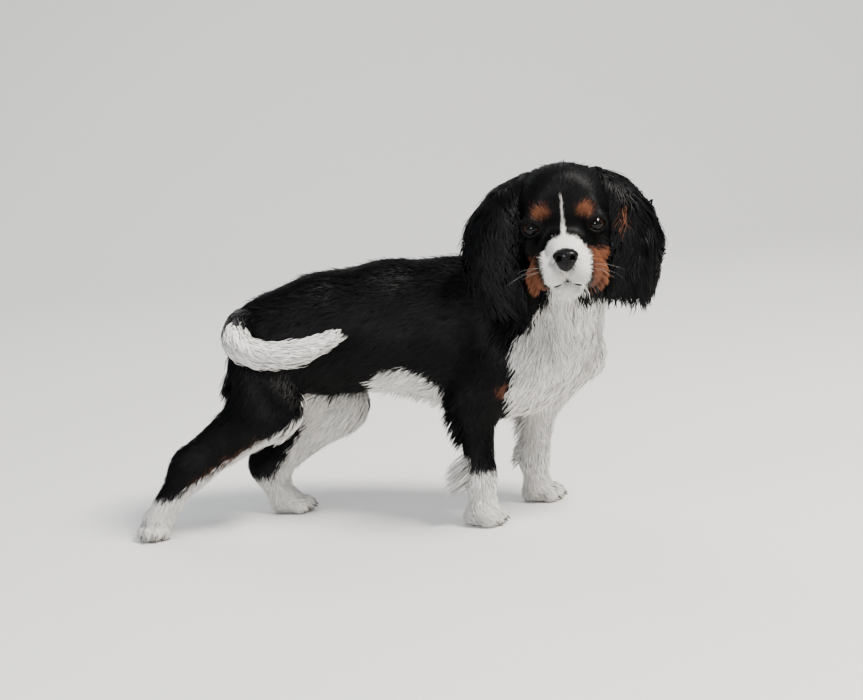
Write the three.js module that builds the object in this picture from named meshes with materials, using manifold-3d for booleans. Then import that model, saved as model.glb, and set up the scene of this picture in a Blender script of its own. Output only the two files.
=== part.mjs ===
// Cavalier King Charles spaniel puppy of about four months, standing with one hind leg stretched back
// and its head turned to its right. Life size, in millimetres: +X towards the chest, +Y to its left, +Z up.
import * as THREE from "three";
import { mergeVertices } from "three/addons/utils/BufferGeometryUtils.js";
import Module from "manifold-3d";

const wasm = await Module();
wasm.setup();

// Driving dimensions
const WITHERS = 233; // floor to the top of the shoulders, coat included
const GAP = 0.3; // clear space between touching pieces
const EYE_SPACING = 53; // between the centres of the eyes
const EYE_RADIUS = 9;
const EYE_OPENING = [13.5, 10.5]; // width and height between the lids
const SKULL_WIDTH = 84;
const MUZZLE_LENGTH = 42; // from the line through the eyes to the tip of the nose
const MUZZLE_WIDTH = 54; // over the lips
const NOSE_WIDTH = 23.5;
const EAR_LENGTH = 112; // from the root to the ends of the locks
const HEAD_YAW = -84; // degrees from straight ahead, minus is to the dog's right
const HEAD_PITCH = 0; // degrees, minus is nose down
const PAW_WIDTH = 33;

const deg = THREE.MathUtils.degToRad;
const vec = (x, y, z) => new THREE.Vector3(x, y, z);
const mix = THREE.MathUtils.lerp;

// Fields: each takes a point and gives about its distance to a surface, minus inside.

const offset = vec(0, 0, 0);
const along = vec(0, 0, 0);

// A limb with an oval section from a to b. Radii are [across, deep] at each end.
function limb(a, b, radiiA, radiiB, across = vec(0, 1, 0)) {
  const axis = b.clone().sub(a);
  const lengthSq = Math.max(axis.lengthSq(), 1e-9);
  const side = across.clone().addScaledVector(axis, -across.dot(axis) / lengthSq).normalize();
  return (p) => {
    offset.copy(p).sub(a);
    const t = THREE.MathUtils.clamp(offset.dot(axis) / lengthSq, 0, 1);
    offset.addScaledVector(axis, -t);
    const u = offset.dot(side);
    const w2 = Math.max(offset.lengthSq() - u * u, 0);
    const ru = mix(radiiA[0], radiiB[0], t);
    const rw = mix(radiiA[1], radiiB[1], t);
    const k0 = Math.sqrt((u * u) / (ru * ru) + w2 / (rw * rw));
    const k1 = Math.sqrt((u * u) / ru ** 4 + w2 / rw ** 4);
    return k1 < 1e-9 ? -Math.min(ru, rw) : (k0 * (k0 - 1)) / k1;
  };
}

// An ellipsoid with its three radii along the three axes given.
function ball(centre, radii, axes = [vec(1, 0, 0), vec(0, 1, 0), vec(0, 0, 1)]) {
  return (p) => {
    along.copy(p).sub(centre);
    let a = 0;
    let b = 0;
    for (let i = 0; i < 3; i++) {
      const x = along.dot(axes[i]) / radii[i];
      a += x * x;
      b += (x * x) / (radii[i] * radii[i]);
    }
    return b < 1e-12 ? -Math.min(...radii) : (Math.sqrt(a) * (Math.sqrt(a) - 1)) / Math.sqrt(b);
  };
}

// The smooth union of fields, which swells the crease between them over a width k.
const blend = (k, ...fields) => (p) => {
  let d = Infinity;
  for (const field of fields) {
    const e = field(p);
    const h = Math.max(k - Math.abs(d - e), 0) / k;
    d = Math.min(d, e) - (h * h * k) / 4;
  }
  return d;
};

// The corners of a cell, its edges, and its faces as rings of corners.
const CORNERS = [0, 1, 2, 3, 4, 5, 6, 7].map((c) => [c & 1, (c >> 1) & 1, (c >> 2) & 1]);
const EDGES = [];
for (const a of CORNERS.keys()) for (const bit of [1, 2, 4]) if (!(a & bit)) EDGES.push([a, a | bit]);
const edgeOf = (a, b) => EDGES.findIndex(([q, r]) => (q === a && r === b) || (q === b && r === a));
const RINGS = [[0, 1, 3, 2], [4, 5, 7, 6], [0, 1, 5, 4], [2, 3, 7, 6], [0, 2, 6, 4], [1, 3, 7, 5]];

// Numbers the sheets of the surface in a cell: the sheet that crosses each edge, from the corners inside.
function sheetsOf(inside) {
  const sheet = EDGES.map(([a, b], e) => (inside[a] !== inside[b] ? e : -1));
  const join = (e, f) => {
    const [to, from] = [Math.min(sheet[e], sheet[f]), Math.max(sheet[e], sheet[f])];
    for (const i of sheet.keys()) if (sheet[i] === from) sheet[i] = to;
  };
  for (const ring of RINGS) {
    const crossed = [0, 1, 2, 3].filter((i) => inside[ring[i]] !== inside[ring[(i + 1) % 4]]);
    const edges = [0, 1, 2, 3].map((i) => edgeOf(ring[i], ring[(i + 1) % 4]));
    if (crossed.length === 2) join(edges[crossed[0]], edges[crossed[1]]);
    if (crossed.length === 4)
      for (const i of crossed) if (inside[ring[i]]) join(edges[(i + 3) % 4], edges[i]);
  }
  return sheet;
}
const sheetTable = new Map();

// Grid lines from low to high, from stretches given as [end, cell].
function lines(low, ...stretches) {
  const at = [low];
  for (const [end, cell] of stretches) {
    const from = at[at.length - 1];
    const count = Math.ceil((end - from) / cell);
    for (let i = 1; i <= count; i++) at.push(mix(from, end, i / count));
  }
  return at;
}
const evenly = (low, high, cell) => low.map((x, i) => lines(x, [high[i], cell[i] ?? cell]));

// The outward direction of a field at a point.
function outward(field, p) {
  const h = 0.4;
  const q = p.clone();
  const slope = [0, 1, 2].map((i) => {
    q.copy(p).setComponent(i, p.getComponent(i) + h);
    const up = field(q);
    q.setComponent(i, p.getComponent(i) - h);
    return up - field(q);
  });
  return q.fromArray(slope).normalize();
}

// The nearest point of a field's surface, sought no further away than reach.
function onto(field, p, reach = Infinity) {
  const q = p.clone();
  for (let i = 0; i < 3; i++) {
    const d = THREE.MathUtils.clamp(field(q) * 0.8, -reach, reach);
    q.addScaledVector(outward(field, q), -d);
  }
  return q;
}

// The surface of a field on a grid, as a closed geometry with one vertex to each sheet in each cell.
function surface(field, grid) {
  const [nx, ny, nz] = grid.map((at) => at.length);
  const values = new Float32Array(nx * ny * nz);
  const p = vec(0, 0, 0);
  const place = (i, j, k) => p.set(grid[0][i], grid[1][j], grid[2][k]);
  const at = (i, j, k) => (i * ny + j) * nz + k;
  const rim = (i, j, k) => i * j * k === 0 || i === nx - 1 || j === ny - 1 || k === nz - 1;
  for (let i = 0; i < nx; i++)
    for (let j = 0; j < ny; j++)
      for (let k = 0; k < nz; k++) {
        const d = field(place(i, j, k));
        values[at(i, j, k)] = rim(i, j, k) ? Math.max(d, 1) : d;
      }
  const vertexOf = new Map();
  const positions = [];
  for (let i = 0; i < nx - 1; i++)
    for (let j = 0; j < ny - 1; j++)
      for (let k = 0; k < nz - 1; k++) {
        const v = CORNERS.map((c) => values[at(i + c[0], j + c[1], k + c[2])]);
        const inside = v.map((d) => d < 0);
        const kind = inside.reduce((sum, is, c) => sum + (is ? 1 << c : 0), 0);
        if (kind === 0 || kind === 255) continue;
        if (!sheetTable.has(kind)) sheetTable.set(kind, sheetsOf(inside));
        const sheet = sheetTable.get(kind);
        place(i, j, k);
        const size = [i, j, k].map((at, m) => grid[m][at + 1] - grid[m][at]);
        for (const s of new Set(sheet.filter((x) => x >= 0))) {
          const crossed = EDGES.filter((_, e) => sheet[e] === s);
          const sum = [0, 0, 0];
          for (const [a, b] of crossed) {
            const t = v[a] / (v[a] - v[b]);
            for (const m of [0, 1, 2]) sum[m] += mix(CORNERS[a][m], CORNERS[b][m], t) / crossed.length;
          }
          for (const e of EDGES.keys())
            if (sheet[e] === s) vertexOf.set(at(i, j, k) * 12 + e, positions.length / 3);
          const spot = vec(p.x + sum[0] * size[0], p.y + sum[1] * size[1], p.z + sum[2] * size[2]);
          positions.push(...onto(field, spot, Math.min(...size) * 0.12));
        }
      }
  const index = [];
  // Joins the four cells round a grid edge. Each is given with the corner where the edge starts in it.
  const quad = (cells, bit, flip) => {
    const [q, r, s, t] = cells.map(([key, corner]) => vertexOf.get(key * 12 + edgeOf(corner, corner | bit)));
    const apart = (a, b) => Math.hypot(...[0, 1, 2].map((m) => positions[3 * a + m] - positions[3 * b + m]));
    const faces = apart(q, s) < apart(r, t) ? [q, r, s, q, s, t] : [q, r, t, r, s, t];
    index.push(...(flip ? faces.reverse() : faces));
  };
  for (let i = 0; i < nx - 1; i++)
    for (let j = 0; j < ny - 1; j++)
      for (let k = 0; k < nz - 1; k++) {
        const here = values[at(i, j, k)] < 0;
        const cells = (u, v) => [[0, 0], [1, 0], [1, 1], [0, 1]].map(([a, b]) => {
          const back = [0, 0, 0];
          back[u] = 1 - a;
          back[v] = 1 - b;
          return [at(i - back[0], j - back[1], k - back[2]), back[0] + 2 * back[1] + 4 * back[2]];
        });
        if (j && k && here !== values[at(i + 1, j, k)] < 0) quad(cells(1, 2), 1, !here);
        if (i && k && here !== values[at(i, j + 1, k)] < 0) quad(cells(2, 0), 2, !here);
        if (i && j && here !== values[at(i, j, k + 1)] < 0) quad(cells(0, 1), 4, !here);
      }
  const geometry = new THREE.BufferGeometry();
  geometry.setAttribute("position", new THREE.Float32BufferAttribute(positions, 3));
  geometry.setIndex(index);
  return geometry;
}

// Solids

function solid(geometry, near = 1e-4) {
  const bare = geometry.clone();
  for (const name of Object.keys(bare.attributes)) if (name !== "position") bare.deleteAttribute(name);
  const merged = mergeVertices(bare, near);
  const mesh = new wasm.Mesh({
    numProp: 3,
    vertProperties: merged.attributes.position.array,
    triVerts: new Uint32Array(merged.index.array),
  });
  return new wasm.Manifold(mesh);
}

function geometryOf(manifold) {
  const { vertProperties, triVerts, numProp } = manifold.getMesh();
  const geometry = new THREE.BufferGeometry();
  const positions = new Float32Array((vertProperties.length / numProp) * 3);
  for (let i = 0; i < positions.length / 3; i++)
    positions.set(vertProperties.subarray(i * numProp, i * numProp + 3), i * 3);
  geometry.setAttribute("position", new THREE.BufferAttribute(positions, 3));
  geometry.setIndex(new THREE.BufferAttribute(triVerts, 1));
  geometry.computeVertexNormals();
  return geometry;
}

// The largest closed surface of a solid, with vertices less than a thousandth apart made one.
const biggest = (s) => s.decompose().sort((a, b) => b.volume() - a.volume())[0];
function largest(s) {
  let best = biggest(s);
  for (let i = 0; i < 9; i++) {
    const merged = solid(geometryOf(best), 1e-3);
    if (merged.decompose().length === 1 && merged.numTri() === best.numTri()) break;
    best = biggest(merged);
  }
  return best;
}

// What of a solid lies behind planes given as [point, outward normal], each moved in by half the gap.
function behind(s, planes, gap = GAP / 2) {
  let kept = s;
  for (const [point, normal] of planes) {
    const n = normal.clone().normalize();
    kept = kept.trimByPlane([-n.x, -n.y, -n.z], -(n.dot(point) - gap));
  }
  return kept;
}

const turned = (plane) => [plane[0], plane[1].clone().negate()];

// A box region from its two corners, grown or shrunk all round by a margin.
function region(low, high, grow) {
  const size = [0, 1, 2].map((i) => high[i] - low[i] + 2 * grow);
  const mid = [0, 1, 2].map((i) => (high[i] + low[i]) / 2);
  return solid(new THREE.BoxGeometry(...size).translate(...mid));
}

// The point where a field's surface is met from p going along a direction.
function settle(field, p, direction) {
  const step = direction.clone().normalize();
  const q = p.clone();
  for (let i = 0; i < 60; i++) q.addScaledVector(step, field(q) * 0.6);
  return q;
}

// A solid from positions and triangles.
function closed(positions, index) {
  const geometry = new THREE.BufferGeometry();
  geometry.setAttribute("position", new THREE.Float32BufferAttribute(positions, 3));
  geometry.setIndex(index);
  return solid(geometry);
}

// A closed tube through the points, its radius given by a function of 0 to 1 along it, with domed ends.
function tube(points, radius, segments = 12, sides = 6, closed = false) {
  const curve = new THREE.CatmullRomCurve3(points, closed);
  const frames = curve.computeFrenetFrames(segments, closed);
  const rings = closed ? segments : segments + 1;
  const positions = [];
  const index = [];
  for (let i = 0; i < rings; i++) {
    const centre = curve.getPointAt(i / segments);
    for (let j = 0; j < sides; j++) {
      const turn = (2 * Math.PI * j) / sides;
      const q = centre.clone();
      q.addScaledVector(frames.normals[i], radius(i / segments) * Math.cos(turn));
      q.addScaledVector(frames.binormals[i], radius(i / segments) * Math.sin(turn));
      positions.push(q.x, q.y, q.z);
    }
  }
  const ringAt = (i) => (i % rings) * sides;
  for (let i = 0; i < (closed ? rings : rings - 1); i++)
    for (let j = 0; j < sides; j++) {
      const k = (j + 1) % sides;
      const [a, b, c, d] = [ringAt(i) + j, ringAt(i) + k, ringAt(i + 1) + k, ringAt(i + 1) + j];
      index.push(a, b, c, a, c, d);
    }
  if (!closed) {
    for (const [i, sign] of [[0, -1], [rings - 1, 1]]) {
      const t = i ? 1 : 0;
      const cap = curve.getPointAt(t).addScaledVector(curve.getTangentAt(t), sign * radius(t) * 0.6);
      const apex = positions.length / 3;
      positions.push(cap.x, cap.y, cap.z);
      for (let j = 0; j < sides; j++) {
        const [q, r] = [ringAt(i) + j, ringAt(i) + ((j + 1) % sides)];
        index.push(...(sign > 0 ? [q, r, apex] : [r, q, apex]));
      }
    }
  }
  const geometry = new THREE.BufferGeometry();
  geometry.setAttribute("position", new THREE.Float32BufferAttribute(positions, 3));
  geometry.setIndex(index);
  return solid(geometry);
}

// The head's own frame: the origin is midway between the eyes, f forward, l to the dog's left, u up.
const EYES_MID = vec(101.5, -52, 273.5);
const yaw = deg(HEAD_YAW);
const pitch = deg(HEAD_PITCH);
const FORWARD = vec(Math.cos(yaw) * Math.cos(pitch), Math.sin(yaw) * Math.cos(pitch), Math.sin(pitch));
const LEFT = vec(-Math.sin(yaw), Math.cos(yaw), 0);
const UP = FORWARD.clone().cross(LEFT);
const HEAD_AXES = [FORWARD, LEFT, UP];
const inHead = (f, l, u) =>
  EYES_MID.clone().addScaledVector(FORWARD, f).addScaledVector(LEFT, l).addScaledVector(UP, u);
const headBall = (f, l, u, radii) => ball(inHead(f, l, u), radii, HEAD_AXES);
const both = (make) => [make(1), make(-1)];

// Skull, cheeks, muzzle with its lip cushions, and the chin
const eyeSide = EYE_SPACING / 2;
const eyeCentre = (side) => inHead(-EYE_RADIUS * 0.85, side * eyeSide, 0);
const skullRadius = SKULL_WIDTH / 2;
const noseFront = MUZZLE_LENGTH;
const lipSide = MUZZLE_WIDTH / 4;

const skull = blend(
  14,
  headBall(-42, 0, 8, [40, skullRadius, 41]),
  headBall(-26, 0, 15, [26, 33, 30]),
  headBall(-60, 0, -6, [26, 32, 30]),
  ...both((s) => headBall(-24, s * 24, -16, [20, 15, 20])),
);
const muzzle = blend(
  6,
  limb(inHead(-2, 0, -16), inHead(noseFront - 13, 0, -23), [17, 12], [13, 9.5], LEFT),
  ...both((s) => headBall(noseFront - 18, s * (lipSide - 1), -35, [15, lipSide, 12])),
  ...both((s) => headBall(noseFront - 34, s * (lipSide + 5.5), -36, [17, 13, 16])),
  limb(inHead(-16, 0, -44), inHead(noseFront - 19, 0, -50), [17, 10], [11, 8.5], LEFT),
);
const brows = both((s) => headBall(-10, s * 21, 12, [8, 10, 6]));
const orbits = both((s) => headBall(-9, s * eyeSide, 0, [10, 11.5, 11]));
const headField = blend(9, skull, muzzle, ...brows, ...orbits);

// Body
const SPINE = {
  chestFront: vec(84, 14, 158),
  ribsFront: vec(36, 30, 158),
  ribs: vec(-14, 40, WITHERS - 63),
  ribsRear: vec(-74, 46, WITHERS - 56),
  loin: vec(-134, 44, WITHERS - 60),
  pelvis: vec(-174, 38, 169),
};
const bodyMasses = [
  limb(SPINE.chestFront, SPINE.ribsFront, [28, 34], [46, 62]),
  limb(SPINE.ribsFront, SPINE.ribs, [46, 62], [47, 60]),
  limb(SPINE.ribs, SPINE.ribsRear, [47, 60], [47, 56]),
  limb(SPINE.ribsRear, SPINE.loin, [47, 56], [42, 51]),
  limb(SPINE.loin, SPINE.pelvis, [42, 51], [41, 46]),
];
const neckBase = vec(40, 22, 190);
const neckTop = inHead(-58, 0, -18);
const neckField = limb(neckBase, neckTop, [40, 44], [32, 36]);
const throatField = limb(vec(85, 4, 172), inHead(-34, 4, -36), [32, 32], [30, 31]);

const right = {
  shoulder: vec(40, -4, 152),
  elbow: vec(6, 0, 118),
  wrist: vec(4, -1, 47),
  forepaw: vec(6, -2, 16),
  hip: vec(-191, 12, 151),
  stifle: vec(-185, 2, 118),
  hock: vec(-265, -1, 65),
  ball: vec(-300, -4, 20),
};
const left = {
  shoulder: vec(88, 56, 146),
  elbow: vec(60, 66, 112),
  wrist: vec(43, 73, 47),
  forepaw: vec(45, 74, 16),
  hip: vec(-176, 66, 160),
  stifle: vec(-140, 72, 105),
  hock: vec(-212, 70, 48),
  ball: vec(-202, 67, 18),
};
const legs = (side) => [
  limb(side.shoulder, side.elbow, [26, 34], [18, 22]),
  limb(side.elbow, side.wrist, [16, 18], [11.5, 12.5]),
  limb(side.wrist, side.forepaw, [11.5, 12.5], [13, 12]),
  limb(side.hip, side.stifle, [24, 34], [20, 30]),
  limb(side.stifle, side.hock, [17, 29], [11, 18]),
  limb(side.hock, side.ball, [10, 16], [12.5, 13]),
];
const bodyField = blend(
  16,
  ...bodyMasses,
  blend(14, neckField, throatField),
  ...legs(right),
  ...legs(left),
);

// A paw at a point on the floor, its toes towards an angle in degrees from +X.
const TOES = [[9, -11, 8], [15, -4.2, 9], [15, 4.2, 9], [9, 11, 8]];
function paw(point, facing, size = 1) {
  const forward = vec(Math.cos(deg(facing)), Math.sin(deg(facing)), 0);
  const across = vec(-forward.y, forward.x, 0);
  const put = (f, a, u) =>
    point.clone().addScaledVector(forward, f * size).addScaledVector(across, a * size).setZ(u * size);
  const axes = [forward, across, vec(0, 0, 1)];
  const wide = PAW_WIDTH / 33;
  const toes = TOES.map(([f, a, u]) => ball(put(f, a * wide, u), [9 * size, 6 * size, 8 * size], axes));
  const field = blend(
    4,
    ball(put(-1, 0, 12), [15 * size, 15 * wide * size, 12 * size], axes),
    ball(put(-10, 0, 8), [9 * size, 10 * size, 8.5 * size], axes),
    ...toes,
  );
  const claws = TOES.map(([f, a, u]) => {
    const tip = f + 9.5;
    return tube([put(f + 2, a * wide, u + 1), put(tip - 1, a * wide, u), put(tip + 1, a * wide, u - 3)],
      (t) => (2.4 - 1.7 * t) * size, 2, 5);
  });
  return { field, claws };
}
const paws = {
  forepaw_right: paw(vec(3, -2, 0), -8),
  forepaw_left: paw(vec(47, 75, 0), 6),
  hindpaw_right: paw(vec(-303, -8, 0), -85),
  hindpaw_left: paw(vec(-192, 65, 0), 8),
};
const wholeField = blend(9, bodyField, headField, blend(1, ...Object.values(paws).map((q) => q.field)));

// Tail, out of the rump, round the near side and forward along the thigh
const TAIL = [vec(-176, 36, 186), vec(-194, 30, 197), vec(-205, 13, 196), vec(-206, -9, 189),
  vec(-199, -30, 182), vec(-179, -42, 175), vec(-153, -45, 174), vec(-130, -44, 179), vec(-110, -43, 186)];
const tailFull = (t) => 11 + 3.5 * Math.sin(Math.PI * Math.min(t * 1.25, 1)) - 3 * t ** 6; // with its hair
const tailCore = (t) => 8.5 + 2 * Math.sin(Math.PI * Math.min(t * 1.25, 1)) - 5 * t ** 4;

// Ears: a leather that hangs from the side of the skull, hollow towards the head
const EAR_LINE = [[-38, 24, 40], [-41, 43, 27], [-41, 56, 2], [-37, 62, -26], [-32, 58, -54], [-29, 54, -72]];
const EAR_HALF_WIDTH = [13, 19, 25, 29, 25, 10];
const EAR_HALF_THICK = [7, 7, 4.5, 2.8, 2.2, 1.4];
const EAR_BOW = 10;
const EAR_SCALE = EAR_LENGTH / 112;
const earSwing = (side) => (side < 0 ? 5 : 0); // the right ear stands off a little further
const earChord = (side) => inHead(-0.6, side * 0.8, 0).sub(EYES_MID);
const earOut = (side) => inHead(0.8, side * 0.6, 0).sub(EYES_MID);
const earCurves = both(
  (side) =>
    new THREE.CatmullRomCurve3(EAR_LINE.map(([f, l, u]) =>
      inHead(f, side * l, 40 + (u - 40) * EAR_SCALE))),
);
function along1(list, t) {
  const x = THREE.MathUtils.clamp(t, 0, 1) * (list.length - 1);
  const i = Math.min(Math.floor(x), list.length - 2);
  return mix(list[i], list[i + 1], x - i);
}

// A point of the ear: t down its length, c across it from -1 to 1, face 1 outside, -1 inside.
function earPoint(side, t, c, face, grow = 0) {
  const curve = earCurves[side > 0 ? 0 : 1];
  const q = curve.getPoint(THREE.MathUtils.clamp(t, 0, 1));
  const beyond = t < 0 ? t : Math.max(t - 1, 0);
  q.addScaledVector(curve.getTangent(THREE.MathUtils.clamp(t, 0, 1)), beyond * EAR_LENGTH);
  q.addScaledVector(earChord(side), c * (along1(EAR_HALF_WIDTH, t) + grow * 2));
  const bow = EAR_BOW * (1 - c * c) * THREE.MathUtils.clamp(t * 3, 0, 1) - 1.2 * grow * c ** 8;
  const half = (along1(EAR_HALF_THICK, t) + grow) * Math.sqrt(Math.max(0, 1 - c * c));
  const swing = 2 * earSwing(side) * THREE.MathUtils.clamp(2.5 * t, 0, 1);
  return q.addScaledVector(earOut(side), bow + swing + face * half);
}

function earLeather(side, grow = 0) {
  const cross = [-1, -0.6, 0, 0.6, 1];
  const rows = 8;
  const positions = [];
  for (let i = 0; i < rows; i++) {
    const t = i / (rows - 1);
    const end = i === 0 ? -1 : i === rows - 1 ? 1 : 0;
    for (const face of [1, -1])
      for (const c of face > 0 ? cross : [...cross].reverse().slice(1, -1))
        positions.push(...earPoint(side, t + (end * 1.5 * grow) / EAR_LENGTH, c, face, grow));
  }
  const ring = 2 * cross.length - 2;
  const index = [];
  for (let i = 0; i < rows - 1; i++)
    for (let j = 0; j < ring; j++) {
      const k = (j + 1) % ring;
      const [a, b, c, d] = [i * ring + j, i * ring + k, (i + 1) * ring + k, (i + 1) * ring + j];
      index.push(...(side > 0 ? [a, c, b, a, d, c] : [a, b, c, a, c, d]));
    }
  for (const [i, last] of [[0, false], [rows - 1, true]])
    for (let j = 1; j < ring - 1; j++) {
      const [a, b, c] = [i * ring, i * ring + j, i * ring + j + 1];
      index.push(...(last === side > 0 ? [a, c, b] : [a, b, c]));
    }
  return closed(positions, index);
}

// Locks of hair. Each is a flat, tapered form along a bent path, given as points, the side that faces
// out, its width and its thickness.
const LOCK_PROFILE = [0.75, 1, 0.92, 0.62];
function lock({ points, out, width, thick }, grow = 0) {
  const curve = new THREE.CatmullRomCurve3(points);
  const positions = [];
  const index = [];
  const count = LOCK_PROFILE.length;
  for (const [i, profile] of LOCK_PROFILE.entries()) {
    const t = i / count;
    const tangent = curve.getTangentAt(t);
    const side = tangent.clone().cross(out).normalize();
    const up = side.clone().cross(tangent);
    const half = (width * profile) / 2 + 1.6 * grow;
    const rise = (thick * (0.5 + profile / 2)) / 2 + 1.2 * grow;
    for (const [a, b] of [[half, 0], [0, rise], [-half, 0], [0, -rise]]) {
      const q = curve.getPointAt(t).addScaledVector(side, a).addScaledVector(up, b);
      if (!i) q.addScaledVector(tangent, -grow);
      positions.push(...q);
    }
  }
  positions.push(...curve.getPointAt(1).addScaledVector(curve.getTangentAt(1), 3 * grow));
  for (let i = 0; i < count; i++)
    for (let j = 0; j < 4; j++) {
      const [a, b] = [i * 4 + j, i * 4 + ((j + 1) % 4)];
      if (i === count - 1) index.push(b, a, 4 * count);
      else index.push(b, a, a + 4, b, a + 4, b + 4);
    }
  index.push(0, 1, 2, 0, 2, 3);
  return closed(positions, index);
}

let seed = 7;
const random = () => {
  seed = (seed * 16807) % 2147483647;
  return seed / 2147483647;
};
const vary = (by) => 1 + by * (2 * random() - 1);

// The path of a lock that lies along a field's surface from near a point, its tip lifted off.
function lying(field, from, lie, length, width, lift = 3) {
  const q = onto(field, from);
  const out = outward(field, q);
  const step = (length * vary(0.15)) / 4;
  const drift = lie.clone().cross(out).multiplyScalar(0.35 * (2 * random() - 1));
  const points = [];
  for (let i = 0; i < 5; i++) {
    const n = outward(field, q);
    points.push(q.clone().addScaledVector(n, [-2.4, 1.2, 2.6, 3.6, lift][i]));
    const way = lie.clone().addScaledVector(drift, 1 - i / 2);
    q.addScaledVector(way.addScaledVector(n, -way.dot(n)).normalize(), step);
    q.copy(onto(field, q));
  }
  return { points, out, width: width * vary(0.15), thick: 3 };
}

// The path of a lock that hangs free from near a point, first along a direction, then falling.
function hanging(field, from, way, length, width, fall = 0.35, out = null) {
  const root = onto(field, from);
  const reach = length * vary(0.15);
  const d = way.clone().normalize();
  const sway = d.clone().cross(vec(0, 0, 1)).multiplyScalar(0.12 * reach * (2 * random() - 1));
  const points = [0, 0.25, 0.5, 0.75, 1].map((s) =>
    root.clone().addScaledVector(d, reach * (s - 0.16 * (1 - s))).addScaledVector(sway, s * s)
      .add(vec(0, 0, -fall * reach * s * s)));
  return { points, out: out ?? d.clone().cross(vec(0, 0, 1)), width: width * vary(0.15), thick: 3.2 };
}

// The locks of an ear: rows that start further and further down and fan out to the ragged lower edge
const EAR_ROWS = [
  { t: 0.1, across: [-0.6, 0.5], length: 0.44 },
  { t: 0.34, across: [-0.7, -0.1, 0.7], length: 0.46 },
  { t: 0.54, across: [-0.95, -0.45, 0.2, 0.95], length: 0.42 },
  { t: 0.72, across: [-0.8, -0.1, 0.6], length: 0.38 },
];
function earFacing(side, t, c) {
  const across = earPoint(side, t, c + 0.05, 1).sub(earPoint(side, t, c - 0.05, 1));
  const down = earPoint(side, t + 0.05, c, 1).sub(earPoint(side, t - 0.05, c, 1));
  const out = across.cross(down).normalize();
  return out.dot(earOut(side)) < 0 ? out.negate() : out;
}
function earLocks(side) {
  const locks = [];
  for (const { t, across, length } of EAR_ROWS)
    for (const c0 of across) {
      const c = c0 * vary(0.1);
      const reach = length * vary(0.18);
      const wave = 0.1 * (2 * random() - 1);
      const flare = 0.25 * c * Math.abs(c) * (c < 0 ? t : 1);
      const out = earFacing(side, t + reach / 2, THREE.MathUtils.clamp(c, -0.75, 0.75));
      const points = [0, 0.25, 0.5, 0.75, 1].map((s) => {
        const lift = [-1.8, 0.8, 2.2, 2.8, 2][s * 4];
        const over = c + flare * Math.sin(Math.PI * Math.min(s * 1.2, 1)) + wave * Math.sin(5 * s);
        return earPoint(side, t + reach * s, Math.abs(c) > 0.9 ? c * 0.92 + flare * s : over, 1)
          .addScaledVector(out, lift);
      });
      locks.push({ points, out, width: 16 * vary(0.2), thick: 3.4 });
    }
  return locks;
}

// Eyes, each in a socket of the head behind an almond opening with a rolled rim
const eyeball = (side, radius) =>
  solid(new THREE.IcosahedronGeometry(radius, 2).translate(...eyeCentre(side)));
const eyeballs = both((side) => eyeball(side, EYE_RADIUS));
const EYE_TURN = deg(13); // each eye looks this far out from straight ahead

// A point round the eye's opening: turn is the way round, reach the distance from the eye's centre.
function lidPoint(side, turn, reach, open = 1) {
  const x = (EYE_OPENING[0] / 2) * Math.cos(turn) * open;
  const height = Math.sin(turn) > 0 ? 0.52 : 0.48;
  const z = EYE_OPENING[1] * height * Math.sin(turn) * (1 - 0.16 * Math.cos(turn) ** 2) * open;
  const depth = Math.sqrt(Math.max(reach * reach - x * x - z * z, 0));
  const f = depth * Math.cos(EYE_TURN) - x * Math.sin(EYE_TURN);
  const l = depth * Math.sin(EYE_TURN) + x * Math.cos(EYE_TURN);
  const tilt = 0.08 * x;
  return eyeCentre(side).add(inHead(f, side * l, z + tilt).sub(EYES_MID));
}
const aroundEye = (side, reach, open, count) =>
  Array.from({ length: count }, (_, i) => lidPoint(side, (2 * Math.PI * i) / count, reach, open));

// The cut that opens the lids, from inside the eyeball out past the brow.
function eyeOpening(side) {
  const count = 14;
  const inner = aroundEye(side, EYE_RADIUS * 0.8, 0.96, count);
  const outer = aroundEye(side, EYE_RADIUS + 7, 1.25, count);
  const ends = [lidPoint(side, 0, EYE_RADIUS * 0.8, 0), lidPoint(side, 0, EYE_RADIUS + 7, 0)];
  const positions = [...inner, ...outer, ...ends].flatMap((q) => [q.x, q.y, q.z]);
  const index = [];
  for (let i = 0; i < count; i++) {
    const j = (i + 1) % count;
    const faces = [i, j, count + j, i, count + j, count + i, 2 * count, j, i,
      2 * count + 1, count + i, count + j];
    index.push(...(side > 0 ? faces : faces.reverse()));
  }
  const geometry = new THREE.BufferGeometry();
  geometry.setAttribute("position", new THREE.Float32BufferAttribute(positions, 3));
  geometry.setIndex(index);
  return solid(geometry);
}
const lidRim = (side) => tube(aroundEye(side, EYE_RADIUS + 1.2, 1.08, 12), () => 1.25, 14, 4, true);

// Nose pad with its nostrils, each a round hole that runs out into a slit at the side
const noseField = blend(
  3,
  headBall(noseFront - 5, 0, -22, [6.5, NOSE_WIDTH / 2 - 1, 5.5]),
  headBall(noseFront - 4, 0, -26.5, [6, NOSE_WIDTH / 2 - 3.5, 5.5]),
  headBall(noseFront - 6, 0, -30.5, [5, 5, 5]),
);
const noseLow = [75, -120, 225];
const noseHigh = [130, -75, 275];
let nose = solid(surface(noseField, evenly(noseLow, noseHigh, [3.3, 3.3, 3.3])));
const noseSeat = solid(surface((p) => noseField(p) - GAP * 1.7, evenly(noseLow, noseHigh, [3.3, 3.3, 3.3])));
for (const side of [1, -1]) {
  const hole = [[-7, 5, -22], [-2, 5.3, -23], [3, 5.6, -23.5]];
  const slit = [[-1, 6, -24], [-2, 9, -26], [-5, 12.5, -27.5]];
  const put = ([f, l, u]) => inHead(noseFront + f, side * l, u);
  nose = nose.subtract(tube(hole.map(put), () => 2, 3, 6));
  nose = nose.subtract(tube(slit.map(put), () => 0.9, 3, 4));
}

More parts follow.
